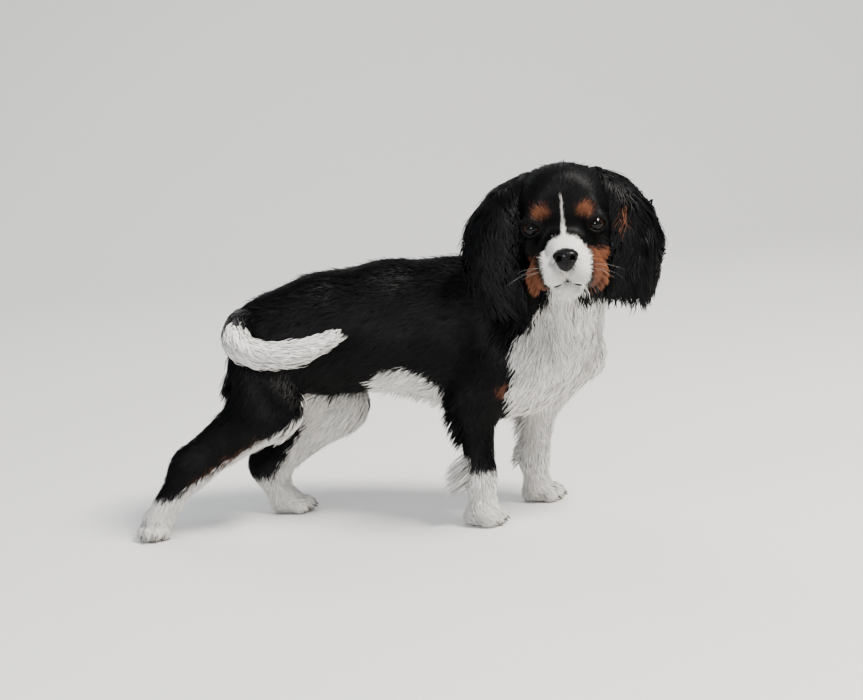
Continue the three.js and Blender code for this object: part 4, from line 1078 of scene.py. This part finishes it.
def hair_material(coat):
    """Clean puppy hair: keratin with a smooth cuticle, glossy where it is black, soft where white."""
    material, tree = new_material("spaniel_hair")
    colour, white, along = coat_colour(tree, coat, 0.66, 1.22)
    # painted shade: each hair is darkened to 0.74 at its root and brightens to full at 0.7 of its length, for
    # the shade the coat casts into itself
    shade = add(tree, "ShaderNodeMapRange", {"Value": along, "From Max": 0.7, "To Min": 0.74})
    colour = add(tree, "ShaderNodeMix", {SHARE: 1.0, FIRST: colour, SECOND: shade.outputs[0]}, **MULTIPLY)
    rough = add(tree, "ShaderNodeMapRange", {"Value": white, "To Min": 0.4, "To Max": 0.8})
    gloss = add(tree, "ShaderNodeMapRange", {"Value": white, "To Min": 0.1, "To Max": 0.15})
    shader = add(tree, "ShaderNodeBsdfPrincipled", {
        "Base Color": colour.outputs[MIXED], "Roughness": rough.outputs[0],
        "Specular IOR Level": gloss.outputs[0], "IOR": 1.5,
    })
    add(tree, "ShaderNodeOutputMaterial", {"Surface": shader.outputs[0]})
    return material


def skin_material(coat):
    """Skin under a short coat: the coat's own colours darkened to three quarters as painted shade of the coat
    over it, with hair lines about 0.8 mm apart as bump.
    """
    material, tree = new_material("spaniel_skin")
    # painted shade: the skin gets three quarters of the coat's colour, for the shade under the coat
    colour, _, _ = coat_colour(tree, coat, 0.5, 1.0)
    place = add(tree, "ShaderNodeTexCoord").outputs["Object"]
    hairs = add(tree, "ShaderNodeTexNoise", {"Vector": place, "Scale": 1200.0, "Detail": 3.0})
    bump = add(tree, "ShaderNodeBump", {"Height": hairs.outputs[0], "Strength": 0.5, "Distance": 0.0006})
    shader = add(tree, "ShaderNodeBsdfPrincipled", {
        "Base Color": colour, "Roughness": 0.75, "Specular IOR Level": 0.1, "Normal": bump.outputs[0],
    })
    add(tree, "ShaderNodeOutputMaterial", {"Surface": shader.outputs[0]})
    return material


def leather_material(coat, name, pebble, roughness):
    """Bare nose and lip skin: black, moist, and pebbled at a size in millimetres.

    Blotches about 4 mm apart keep its black from being flat.
    """
    material, tree = new_material(name)
    place = add(tree, "ShaderNodeTexCoord").outputs["Object"]
    cells = add(tree, "ShaderNodeTexVoronoi", {"Vector": place, "Scale": 1000 / pebble},
                feature="DISTANCE_TO_EDGE")
    domes = add(tree, "ShaderNodeMapRange", {"Value": cells.outputs["Distance"], "From Max": 0.25})
    bump = add(tree, "ShaderNodeBump", {"Height": domes.outputs[0], "Strength": 0.4, "Distance": 0.0002})
    tone = add(tree, "ShaderNodeTexNoise", {"Vector": place, "Scale": 260.0, "Detail": 2.0})
    ramp = add(tree, "ShaderNodeValToRGB", {0: tone.outputs[0]})
    for stop, factor in zip(ramp.color_ramp.elements, (0.7, 1.3)):
        stop.color = [min(1, c * factor) for c in linear(coat.nose)[:3]] + [1]
    shader = add(tree, "ShaderNodeBsdfPrincipled", {
        "Base Color": ramp.outputs[0], "Roughness": roughness, "Specular IOR Level": 0.09,
        "Coat Weight": 0.1, "Coat Roughness": 0.14, "Normal": bump.outputs[0],
    })
    add(tree, "ShaderNodeOutputMaterial", {"Surface": shader.outputs[0]})
    return material


def eye_material(coat):
    """A wet eye: clear cornea over a dark brown iris, a black pupil and a little shaded white.

    The fibres of the iris are drawn about 1 mm apart, coarser than they are, so that they show.
    """
    material, tree = new_material("spaniel_eye")
    ring = add(tree, "ShaderNodeAttribute", attribute_type="GEOMETRY", attribute_name="iris")
    place = add(tree, "ShaderNodeTexCoord").outputs["Object"]
    fibres = add(tree, "ShaderNodeTexNoise", {"Vector": place, "Scale": 900.0, "Detail": 2.0})
    ramp = add(tree, "ShaderNodeValToRGB", {0: ring.outputs["Fac"]})
    stops = ramp.color_ramp.elements
    stops[0].position, stops[0].color = 0.17, linear("010101")
    stops[1].position, stops[1].color = 0.21, linear(coat.iris)
    for position, code in ((0.31, "1c0d06"), (0.36, "060303"), (0.42, "2b211c"), (0.6, "8d7c72")):
        stops.new(position).color = linear(code)
    lit = add(tree, "ShaderNodeMapRange", {
        "Value": fibres.outputs[0], "From Min": 0.3, "From Max": 0.7, "To Min": 0.7, "To Max": 1.25,
    })
    colour = add(tree, "ShaderNodeMix", {
        SHARE: 1.0, FIRST: ramp.outputs[0], SECOND: lit.outputs[0],
    }, **MULTIPLY)
    shader = add(tree, "ShaderNodeBsdfPrincipled", {
        "Base Color": colour.outputs[MIXED], "Roughness": 0.06, "IOR": 1.36, "Specular IOR Level": 0.35,
    })
    add(tree, "ShaderNodeOutputMaterial", {"Surface": shader.outputs[0]})
    return material


def horn_material(coat):
    """Claw horn: dark, a little clearer in streaks about 1.4 mm apart, and smooth from wear."""
    material, tree = new_material("spaniel_claw")
    place = add(tree, "ShaderNodeTexCoord").outputs["Object"]
    grain = add(tree, "ShaderNodeTexNoise", {"Vector": place, "Scale": 700.0, "Detail": 2.0})
    ramp = add(tree, "ShaderNodeValToRGB", {0: grain.outputs[0]})
    for stop, factor in zip(ramp.color_ramp.elements, (0.6, 1.7)):
        stop.color = [min(1, c * factor) for c in linear(coat.claw)[:3]] + [1]
    shader = add(tree, "ShaderNodeBsdfPrincipled", {"Base Color": ramp.outputs[0], "Roughness": 0.35})
    add(tree, "ShaderNodeOutputMaterial", {"Surface": shader.outputs[0]})
    return material


def material_named(name, make, *args):
    """The material of a name, made when it is first asked for."""
    return bpy.data.materials.get(name) or make(*args)


# Operators, one for each piece or group of like pieces

FLESH = [
    "head", "neck", "torso", "ear_left", "ear_right", "tail_root", "tail_middle", "tail_tip",
    "foreleg_left", "foreleg_right", "forepaw_left", "forepaw_right",
    "hindleg_left", "hindleg_right", "hindpaw_left", "hindpaw_right",
]


SIDES = ((1, "left"), (-1, "right"))
WISPS = 0.07  # the share of tufts that stand off the others
SHORT, LONG = 7, 17  # tufts shorter than this have one step to their tip, or two, and longer ones three


def settings(context):
    """The puppy, drawn from the scene's sizes, and the settings of its coat."""
    scene = context.scene
    return Puppy(scene.spaniel_shape), scene.spaniel_coat


def hand_over(thing, material, nodes=()):
    """Gives a finished piece its material and slot, and makes it ride on the body."""
    thing.data.materials.append(material)
    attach(thing, "root")
    if nodes:
        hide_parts(*nodes)
    return thing


class SPANIEL_OT_skin(bpy.types.Operator):
    """The skin of the whole body in one piece, with ears, tail, lids and lips, inside the coat"""

    bl_idname = "spaniel.skin"
    bl_label = "Skin"

    def execute(self, context):
        puppy, coat = settings(context)
        # cells in millimetres, finest about the head
        grid = [
            lines(-332, (22, 3.4), (150, 1.35), (178, 2)),
            lines(-106, (26, 1.35), (130, 3.2)),
            lines(-3, (190, 3.2), (226, 1.8), (330, 1.35)),
        ]
        points, faces = surface(puppy.skin(), grid)
        points[:, 2] = np.maximum(points[:, 2], LOWEST)
        thing = new_mesh("skin", puppy.placed(points), faces)
        white, tan = puppy.marks(points)
        colour_points(thing, np.stack([white, tan, np.full(len(white), 0.5), np.zeros(len(white))], -1))
        select_only(thing)
        bpy.ops.object.mode_set(mode="EDIT")
        bpy.ops.mesh.select_all(action="SELECT")
        bpy.ops.uv.smart_project(angle_limit=math.radians(60), island_margin=0.002)
        bpy.ops.object.mode_set(mode="OBJECT")
        thing.data.uv_layers.active.name = BAKE_MAP
        hand_over(thing, material_named("spaniel_skin", skin_material, coat), FLESH)
        return {"FINISHED"}


class SPANIEL_OT_eyes(bpy.types.Operator):
    """Both eyeballs, with the bulge of the cornea"""

    bl_idname = "spaniel.eyes"
    bl_label = "Eyes"

    def execute(self, context):
        puppy, coat = settings(context)
        apart = math.radians(7)
        for side, name in SIDES:
            gaze = unit(np.array([math.cos(apart), side * math.sin(apart), -0.03]) @ puppy.head_axes)
            bpy.ops.object.select_all(action="DESELECT")
            bpy.ops.mesh.primitive_uv_sphere_add(
                segments=64, ring_count=48, radius=puppy.eye_radius * MM, location=(0, 0, 0)
            )
            ball_piece = context.active_object
            ball_piece.name = f"eyeball_{name}"
            mesh = ball_piece.data
            points = read(mesh.vertices, "co", 3)
            angle = np.arccos(np.clip(points[:, 2] / np.linalg.norm(points, axis=1), -1, 1))
            bulge = 1 + 0.07 * smooth(math.radians(42), 0, angle)
            mesh.vertices.foreach_set("co", (points * bulge[:, None]).ravel())
            layer = mesh.attributes.new("iris", "FLOAT", "POINT")
            layer.data.foreach_set("value", (angle / math.pi * 1.15).astype(np.float32))
            ball_piece.rotation_euler = Vector(gaze).to_track_quat("Z", "Y").to_euler()
            ball_piece.location = Vector(puppy.placed(puppy.eye_centre(side)))
            select_only(ball_piece)
            bpy.ops.object.transform_apply(location=True, rotation=True, scale=True)
            bpy.ops.object.shade_smooth()
            hand_over(ball_piece, material_named("spaniel_eye", eye_material, coat), [f"eye_{name}"])
        return {"FINISHED"}


class SPANIEL_OT_lids(bpy.types.Operator):
    """The dark rims of the lids, thicker above, and the edges of the lips"""

    bl_idname = "spaniel.lids"
    bl_label = "Lids and lips"

    def execute(self, context):
        puppy, coat = settings(context)
        skin = puppy.skin()
        turn = np.linspace(0, 2 * math.pi, 48, endpoint=False)
        leather = material_named("spaniel_lip", leather_material, coat, "spaniel_lip", 0.5, 0.42)
        for side, name in SIDES:
            x = puppy.eye_open[0] * np.cos(turn)
            z = puppy.lid_height(np.cos(turn), np.sin(turn)) * np.sin(turn)
            reach = puppy.eye_radius + 0.55
            deep = np.sqrt(reach**2 - x**2 - z**2)
            cos, sin = math.cos(puppy.EYE_TILT), math.sin(puppy.EYE_TILT)
            ahead, aside = deep * cos - x * sin, side * (deep * sin + x * cos)
            place = np.stack([ahead, aside, z + puppy.EYE_SLANT * x], -1)
            path = puppy.eye_centre(side) + place @ puppy.head_axes
            out = unit(path - puppy.eye_centre(side))
            tangent = unit(np.roll(path, -1, 0) - np.roll(path, 1, 0))
            above = smooth(-0.4, 0.9, np.sin(turn))
            rod = loft(path, np.cross(out, tangent), out, 0.5 + 0.35 * above, 0.5 + 0.25 * above, ring=True)
            thing = joined(f"lid_rim_{name}", [(puppy.placed(rod[0]), rod[1])])
            facing_out(thing)
            hand_over(thing, leather)
        path, inwards = puppy.mouth_path(reach=1.72, count=61, raised=0.4, field=skin)
        size = np.sin(np.linspace(0.12, math.pi - 0.12, len(path))) ** 0.4
        tangent = unit(np.gradient(path, axis=0))
        up = np.cross(tangent, inwards)
        upwards = up * np.sign(up[len(up) // 2, 2])
        rods = []
        for raised, bulk in ((0.75, 1.0), (-1.0, 0.9)):
            rod = loft(path + raised * upwards + inwards * 0.5, inwards, up, bulk * size, 0.75 * size)
            rods.append((puppy.placed(rod[0]), rod[1]))
        thing = joined("lip_edges", rods)
        facing_out(thing)
        hand_over(thing, leather)
        return {"FINISHED"}


class SPANIEL_OT_nose(bpy.types.Operator):
    """The nose pad with its nostrils, slits and middle crease"""

    bl_idname = "spaniel.nose"
    bl_label = "Nose"

    def execute(self, context):
        puppy, coat = settings(context)
        middle = puppy.in_head(puppy.nose_front - 4, 0, -27)
        grid = [lines(at - 16, (at + 16, 0.5)) for at in middle]
        points, faces = surface(puppy.nose_field(), grid, near=5)
        thing = new_mesh("nose_pad", puppy.placed(points), faces)
        leather = material_named("spaniel_nose", leather_material, coat, "spaniel_nose", 0.9, 0.3)
        hand_over(thing, leather, ["nose"])
        return {"FINISHED"}


def bare(puppy, p):
    """Where no coat grows: on the eyes, lids, lips, nose and soles."""
    gone = p[:, 2] < 2.2
    near = puppy.by_face(p)
    face = p[near]
    none = puppy.nose_field(False)(face) < 0.7
    for side in (1, -1):
        reach = puppy.lid_place(face, side)[3]
        none |= (puppy.almond(face, side) < 1.4) & (reach < puppy.eye_radius + 5)
    path, _ = puppy.mouth_path(reach=1.68, count=15)
    none |= np.min([lip(face) for lip in chain(path, 1)], axis=0) < 1.5
    gone[near] |= none
    return gone


def owner(puppy, p):
    """Whether skin points belong to the ears or to the tail."""
    rest = puppy.whole(p) + puppy.depth(p)
    ear = np.minimum(puppy.ear(1)(p), puppy.ear(-1)(p)) < rest - 0.3
    tail = puppy.tail_skin()(p) < rest - 0.3
    return ear, tail & ~ear


def tinted(puppy, roots, rng, spread=0.16):
    """What each tuft carries of the coat's colours, its edges mixed over a few millimetres."""
    mixing = np.where(puppy.head_only(roots), 0.45, 1.2)[:, None]
    white, _ = puppy.marks(roots + rng.normal(0, 1, roots.shape) * mixing)
    _, tan = puppy.marks(roots + rng.normal(0, 1.7, roots.shape))
    spread = np.where(white + tan > 0.5, 1.4 * spread, spread)
    light = 0.5 + rng.normal(0, 1, len(roots)) * spread + 0.1 * ripple(roots, 30)
    return np.stack([white, tan, np.clip(light, 0, 1)], -1)


def grow(name, puppy, coat, rng, roots, path, normals, width, uv):
    """Makes one piece of the coat from the paths of its tufts."""
    thing = tuft_mesh(name, puppy, path, normals, width, uv, tinted(puppy, roots, rng))
    hand_over(thing, material_named("spaniel_hair", hair_material, coat))


class SPANIEL_OT_coat(bpy.types.Operator):
    """The short coat of head, body, legs and feet, in tufts that lie along the body"""

    bl_idname = "spaniel.coat"
    bl_label = "Coat"

    def execute(self, context):
        puppy, coat = settings(context)
        rng = np.random.default_rng(coat.seed)
        parts, _, _, lies, table = puppy.table

        def wanted(p):
            ear, tail = owner(puppy, p)
            density = puppy.shares(p) @ table[:, 3]
            return np.where(ear | tail | bare(puppy, p), 0, density) * coat.fullness

        roots, normals, uv = scatter(bpy.data.objects["skin"], puppy, wanted, rng)
        shares = puppy.shares(roots)
        lie = unit(shares @ lies)
        length, width, depth, _, wave = (shares @ table).T
        count = len(roots)
        length = length * varied(rng, count, 0.16, high=1.4)
        width = width * varied(rng, count, 0.2, low=0.5)
        rise = depth * varied(rng, count, 0.17, 0.4, 1.2, 0.84)
        wisp = (rng.random(count) < WISPS) & (length > 5)
        rise, length, width = rise * (1 + 0.75 * wisp), length * (1 + 0.2 * wisp), width * (1 - 0.3 * wisp)
        field = puppy.skin()
        which = np.array(parts)[shares.argmax(1)]
        bends = np.select([length < SHORT, length < LONG], [1, 2], 3)
        for part in dict.fromkeys(parts):
            number = 0
            for steps in (1, 2, 3):
                at = np.nonzero((which == part) & (bends == steps))[0]
                most = PIECE_TRIANGLES // (6 * steps - 2)
                for i in np.array_split(at, math.ceil(len(at) / most)) if len(at) else ():
                    number += 1
                    path = combed(
                        field, roots[i], normals[i], lie[i], length[i], rise[i], wave[i], steps, rng
                    )
                    if steps > 1:
                        path = gather(roots[i], path, 9, 0.2 if steps == 2 else 0.45, rng)
                    name = f"coat_{part}_{number}"
                    grow(name, puppy, coat, rng, roots[i], path, normals[i], width[i], uv[i])
        return {"FINISHED"}


class SPANIEL_OT_feathers(bpy.types.Operator):
    """The longer hair behind the legs, under the belly and down the front of the neck"""

    bl_idname = "spaniel.feathers"
    bl_label = "Feathering"

    # place, half its size, way, length, tufts per square millimetre
    PLACES = [
        ((-13, -3, 98), (13, 15, 28), (-0.6, -0.05, -0.8), 16, 0.46),
        ((-6, -2, 52), (9, 13, 17), (-0.85, 0, -0.5), 27, 0.5),
        ((36, 70, 96), (13, 15, 28), (-0.6, 0.05, -0.8), 20, 0.36),
        ((31, 72, 56), (9, 13, 18), (-0.7, 0, -0.7), 12, 0.4),
        ((-228, 10, 130), (17, 26, 34), (-0.45, 0, -0.9), 21, 0.36),
        ((-210, 66, 122), (17, 26, 32), (-0.45, 0, -0.9), 21, 0.3),
        ((-254, 0, 88), (20, 12, 20), (-0.6, 0, -0.8), 13, 0.34),
        ((-60, 42, 112), (50, 30, 13), (-0.9, 0, -0.4), 13, 0.16),
        ((-8, 2, 124), (26, 22, 16), (-0.65, -0.1, -0.75), 13, 0.4),
        ((114, 30, 208), (17, 22, 20), (0.15, 0.2, -0.97), 20, 0.34),
    ]
    # the same on the head, its places and ways ahead, to its left and up from between the eyes
    HEAD_PLACES = [
        ((4, 29, -42), (13, 12, 13), (-0.6, 0.35, -0.75), 9, 0.7),
        ((4, -29, -42), (13, 12, 13), (-0.6, -0.35, -0.75), 9, 0.7),
    ]

    def execute(self, context):
        puppy, coat = settings(context)
        rng = np.random.default_rng(coat.seed + 7)
        rows = list(self.PLACES)
        for at, half, way, *rest in self.HEAD_PLACES:
            rows.append((puppy.in_head(*at), half, np.array(way) @ puppy.head_axes, *rest))
        places, halves, ways = (np.array([row[i] for row in rows], float) for i in range(3))
        lengths, densities = (np.array([row[i] for row in rows]) for i in (3, 4))
        nearness = lambda p: (((p[:, None] - places) / halves) ** 2).sum(-1)

        def wanted(p):
            ear, tail = owner(puppy, p)
            here = densities * np.clip(1.6 * (1 - nearness(p)), 0, 1)
            return np.where(ear | tail | bare(puppy, p), 0, here.max(1)) * coat.fullness

        roots, normals, uv = scatter(bpy.data.objects["skin"], puppy, wanted, rng)
        kind = nearness(roots).argmin(1)
        keep = dots(normals, unit(ways[kind])) > -0.15
        roots, normals, uv, kind = roots[keep], normals[keep], uv[keep], kind[keep]
        count = len(roots)
        length = lengths[kind] * varied(rng, count, 0.2)
        length *= np.interp(roots[:, 2], [40, 64, 100], [0.7, 0.75, 1])
        way = unit(unit(ways[kind]) + 0.3 * normals + rng.normal(0, 0.13, (count, 3)))
        swing = np.cross(way, normals) * (0.06 * length * np.sin(3 * ripple(roots, 20)))[:, None]
        field = puppy.skin()
        path = [roots - 0.5 * normals]
        for s in (0.25, 0.5, 0.75, 1.0):
            at = roots + way * (length * s)[:, None] + swing * math.sin(3.1 * s)
            at[:, 2] -= 0.2 * length * s * s
            at += normals * np.clip(1.2 - values_at(field, at), 0, 9)[:, None]
            path.append(at)
        path = gather(roots, np.stack(path, 1), 6, 0.42, rng)
        grow("coat_feathers", puppy, coat, rng, roots, path, normals, 1.05 * varied(rng, count, 0.2), uv)
        return {"FINISHED"}


class SPANIEL_OT_ears(bpy.types.Operator):
    """The long wavy locks of both ears"""

    bl_idname = "spaniel.ears"
    bl_label = "Ear locks"

    def execute(self, context):
        puppy, coat = settings(context)
        for side, name in SIDES:
            rng = np.random.default_rng(coat.seed + 3 + side)

            def wanted(p):
                ear, _ = owner(puppy, p)
                ear &= side * puppy.of_head(p)[:, 1] > 0
                density = np.where(p[:, 2] < puppy.EYES_MID[2] - 20, 0.9, 0.5)
                return np.where(ear, density, 0) * coat.fullness

            roots, normals, uv = scatter(bpy.data.objects["skin"], puppy, wanted, rng)
            count = len(roots)
            t, across, off, _, u = puppy.ear_place(roots, side)
            outer = off > 0
            edge = np.clip(np.abs(across) - 0.3, 0, 1)
            wisp = rng.random(count) < 0.06 + 0.28 * edge
            spread = 0.3 * across + 0.25 * across**3 + (0.15 + 0.45 * wisp) * np.clip(across, 0, 1.2) ** 2
            spread -= 0.3 * smooth(-0.3, -0.8, across)
            fan = spread[:, None] * np.array([-0.6, 0.8 * side, 0]) @ puppy.head_axes
            lie = unit(np.array([0, 0, -1.0]) + fan)
            length = np.where(outer, 32, 22) * (0.8 + 0.35 * t) * varied(rng, count, 0.18)
            longest = 87 + 9 * rng.random(count) - 14 * (np.clip(across, -1.2, 1.1) + 0.3) ** 2 + u
            length = np.minimum(length, np.maximum(longest, 14))
            rise = np.where(outer, 4.2, 1.6) * varied(rng, count, 0.3, 0.4, 1.8) * (1 + 1.1 * wisp)
            path = combed(puppy.ear(side, hang=120), roots, normals, lie, length, rise, np.full(count, 0.42),
                          5, rng, 0.6, 0.09 + 0.09 * wisp)
            path = gather(roots, path, 13, 0.5, rng)
            width = 1.5 * varied(rng, count, 0.2) * (1 - 0.35 * wisp)
            grow(f"coat_ear_{name}", puppy, coat, rng, roots, path, normals, width, uv)
        return {"FINISHED"}


class SPANIEL_OT_tail(bpy.types.Operator):
    """The plume of the tail"""

    bl_idname = "spaniel.tail"
    bl_label = "Tail plume"

    def execute(self, context):
        puppy, coat = settings(context)
        rng = np.random.default_rng(coat.seed + 9)
        path, along = puppy.tail_path(60)
        forward = unit(np.gradient(path, axis=0))

        def wanted(p):
            return np.where(owner(puppy, p)[1], 0.66, 0) * coat.fullness

        roots, normals, uv = scatter(bpy.data.objects["skin"], puppy, wanted, rng)
        near = ((roots[:, None] - path[None]) ** 2).sum(-1).argmin(1)
        along = along[near]
        under = np.maximum(0, -normals[:, 2])
        count = len(near)
        droop = np.array([0, 0, -0.16]) - 0.3 * (under * along)[:, None] * [0, 0, 1]
        lie = unit(forward[near] + droop + 0.1 * normals)
        length = (23 - 15 * along**4 + 6 * under) * varied(rng, count, 0.18)
        room = np.interp(along, [0, 0.3, 0.75, 1], [4, 4.4, 5, 3]) * (1 + 0.3 * under)
        rise = room * varied(rng, count, 0.24, 0.2, 1.2, 0.72)
        stray = 0.25 * (rng.random(count) < 0.15)
        locks = combed(puppy.tail_skin(beyond=26), roots, normals, lie, length, rise * (1 + 2 * stray),
                       np.full(count, 0.22), 4, rng, 0.75, 0.12 + stray)
        locks = gather(roots, locks, 14, 0.5, rng)
        width = 1.45 * varied(rng, count, 0.2)
        grow("coat_tail", puppy, coat, rng, roots, locks, normals, width, uv)
        return {"FINISHED"}


class SPANIEL_OT_claws(bpy.types.Operator):
    """The claws, four to a foot"""

    bl_idname = "spaniel.claws"
    bl_label = "Claws"

    def execute(self, context):
        puppy, coat = settings(context)
        rods = []
        steps = np.linspace(0, 1, 7)
        for at, facing in puppy.PAWS:
            axes = puppy.paw_axes(facing)
            for f, a, u in puppy.TOES:
                aside = np.full(7, a * puppy.toe_spread)
                x = np.stack([f + 3 + 7.2 * steps, aside, u + 0.6 - 4.2 * steps**1.7], -1)
                path = np.array([*at, 0]) + x @ axes
                tangent = unit(np.gradient(path, axis=0))
                across = np.tile(axes[1], (7, 1))
                thin = 1.7 * (1 - 0.8 * steps**1.4)
                points, faces = loft(path, across, np.cross(tangent, across), thin * 0.8, thin * 1.1, sides=8)
                rods.append((puppy.placed(points), faces))
        thing = joined("claws", rods)
        facing_out(thing)
        hand_over(thing, material_named("spaniel_claw", horn_material, coat))
        return {"FINISHED"}


class SPANIEL_OT_whiskers(bpy.types.Operator):
    """Whiskers on the lips"""

    bl_idname = "spaniel.whiskers"
    bl_label = "Whiskers"

    def execute(self, context):
        puppy, coat = settings(context)
        rng = np.random.default_rng(coat.seed + 5)
        skin = puppy.skin()
        rods = []
        for side in (1, -1):
            for row in range(2):
                for i in range(3):
                    start = puppy.in_head(33 - 7 * i, side * 60, -31 - 3.4 * row - i)
                    root = settle(skin, start[None], -side * puppy.left[None])[0]
                    out = outward(skin, root[None])[0]
                    way = unit(out * 0.8 + np.array([0.25 - 0.25 * i, side * 0.5, -0.25]) @ puppy.head_axes
                               + rng.normal(0, 0.12, 3))
                    length = (15 + 3 * i) * rng.uniform(0.8, 1.2)
                    s = np.linspace(0, 1, 6)[:, None]
                    path = root - out * 0.6 + way * length * s + np.array([0, 0, -0.28]) * length * s**2
                    tangent = unit(np.gradient(path, axis=0))
                    across = unit(np.cross(tangent, [0.1, 0.2, 1.0]))
                    thin = 0.08 * (1 - 0.5 * s[:, 0])
                    points, faces = loft(path, across, np.cross(tangent, across), thin, thin, sides=3)
                    rods.append((puppy.placed(points), faces))
        thing = joined("whiskers", rods)
        facing_out(thing)
        colour_points(thing, np.tile([0.35, 0, 0.6, 0.6], (len(thing.data.vertices), 1)))
        hand_over(thing, material_named("spaniel_hair", hair_material, coat))
        return {"FINISHED"}


class SPANIEL_OT_stage(bpy.types.Operator):
    """Floor, soft lights and the camera"""

    bl_idname = "spaniel.stage"
    bl_label = "Stage"

    CAMERA = (271.04620667, -1551.03706323, 441.47373957)  # in the frame that the puppy was drawn in
    AIM = (0, 0, 0.15)  # of the lights
    STRIP = dict(front=-6.0, bend=1.8, radius=1.2, top=4.5, half=7)  # of the floor, in metres
    # name, place, size, watts, colour, whether it lights, whether it gives glints: the catch light is
    # there for the glints in eyes and nose alone
    LIGHTS = (
        ("key_light", (1.5, -0.7, 2.2), 0.7, 155, "fffaf2", True, True),
        ("fill_light", (-1.6, -2.0, 1.6), 1.8, 24, "eef3ff", True, False),
        ("catch_light", (0.0, -1.75, 0.9), 0.36, 20, "ffffff", False, True),
        ("rim_light", (-0.9, 1.7, 1.9), 1.2, 18, "ffffff", True, True),
    )

    def execute(self, context):
        puppy, _ = settings(context)
        stage = context.scene.spaniel_stage
        a, e, r = stage.azimuth, stage.elevation, stage.roll
        back = np.array([math.sin(a) * math.cos(e), -math.cos(a) * math.cos(e), math.sin(e)])
        level = np.array([math.cos(a), math.sin(a), 0])
        away = np.array([-math.sin(a), math.cos(a), 0])
        front, bend, radius, top, half = self.STRIP.values()
        turn = np.linspace(0, math.pi / 2, 25)
        run = np.concatenate([[front], bend + radius * np.sin(turn), [bend + radius]])
        rise = np.concatenate([[0.0], radius - radius * np.cos(turn), [top]])
        strip = run[:, None] * away + rise[:, None] * np.array([0, 0, 1])
        n = len(strip)
        i = np.arange(n - 1)
        floor = new_mesh("floor", np.concatenate([strip - half * level, strip + half * level]),
                         np.stack([i, i + n, i + n + 1, i + 1], -1))
        # matt painted board
        material, tree = new_material("studio_floor")
        shader = add(tree, "ShaderNodeBsdfPrincipled", {"Base Color": linear(stage.floor), "Roughness": 0.85})
        add(tree, "ShaderNodeOutputMaterial", {"Surface": shader.outputs[0]})
        floor.data.materials.append(material)
        floor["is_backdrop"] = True
        world = bpy.data.worlds.new("studio")
        world.use_nodes = True
        world.node_tree.nodes["Background"].inputs[0].default_value = linear("e6ecf4")
        world.node_tree.nodes["Background"].inputs[1].default_value = 0.7
        context.scene.world = world
        for name, place, size, power, code, diffuse, glossy in self.LIGHTS:
            bpy.ops.object.light_add(type="AREA", location=place)
            light = context.active_object
            light.name = name
            light.data.size = size
            light.data.energy = power
            light.data.color = linear(code)[:3]
            light.visible_diffuse, light.visible_glossy = diffuse, glossy
            light.rotation_euler = (Vector(self.AIM) - Vector(place)).to_track_quat("-Z", "Y").to_euler()
        over = np.cross(back, level)
        side = level * math.cos(r) - over * math.sin(r)
        over = level * math.sin(r) + over * math.cos(r)
        turn = Matrix(np.column_stack([side, over, back]).tolist()).to_4x4()
        turn.translation = Vector(puppy.placed(self.CAMERA))
        bpy.ops.object.camera_add()
        camera = context.active_object
        camera.name = "photo_camera"
        camera.matrix_world = turn
        camera.data.sensor_width = 36
        camera.data.lens = stage.lens
        context.scene.camera = camera
        return {"FINISHED"}


class SPANIEL_PT_panel(bpy.types.Panel):
    """The puppy's pieces, sizes and colours"""

    bl_idname = "SPANIEL_PT_panel"
    bl_label = "Spaniel Puppy"
    bl_space_type = "VIEW_3D"
    bl_region_type = "UI"
    bl_category = "Spaniel"

    def draw(self, context):
        layout = self.layout
        for group in (context.scene.spaniel_shape, context.scene.spaniel_coat, context.scene.spaniel_stage):
            box = layout.box()
            for name in group.__annotations__:
                box.prop(group, name)
        for operator in OPERATORS:
            layout.operator(operator.bl_idname)


OPERATORS = [
    SPANIEL_OT_skin, SPANIEL_OT_eyes, SPANIEL_OT_lids, SPANIEL_OT_nose, SPANIEL_OT_coat, SPANIEL_OT_feathers,
    SPANIEL_OT_ears, SPANIEL_OT_tail, SPANIEL_OT_claws, SPANIEL_OT_whiskers, SPANIEL_OT_stage,
]
CLASSES = [SpanielShape, SpanielCoat, SpanielStage, *OPERATORS, SPANIEL_PT_panel]


def register():
    for cls in CLASSES:
        bpy.utils.register_class(cls)
    bpy.types.Scene.spaniel_shape = PointerProperty(type=SpanielShape)
    bpy.types.Scene.spaniel_coat = PointerProperty(type=SpanielCoat)
    bpy.types.Scene.spaniel_stage = PointerProperty(type=SpanielStage)


def unregister():
    for name in ("spaniel_shape", "spaniel_coat", "spaniel_stage"):
        delattr(bpy.types.Scene, name)
    for cls in reversed(CLASSES):
        bpy.utils.unregister_class(cls)


def main():
    register()
    bpy.ops.spaniel.skin()
    bpy.ops.spaniel.eyes()
    bpy.ops.spaniel.lids()
    bpy.ops.spaniel.nose()
    bpy.ops.spaniel.coat()
    bpy.ops.spaniel.feathers()
    bpy.ops.spaniel.ears()
    bpy.ops.spaniel.tail()
    bpy.ops.spaniel.claws()
    bpy.ops.spaniel.whiskers()
    bpy.ops.spaniel.stage()
    boxes = {"cad": CAD_BOX, "visual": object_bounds()}
    rows = {name: [[float(x) for x in corner] for corner in box] for name, box in boxes.items()}


if __name__ == "__main__":
    main()
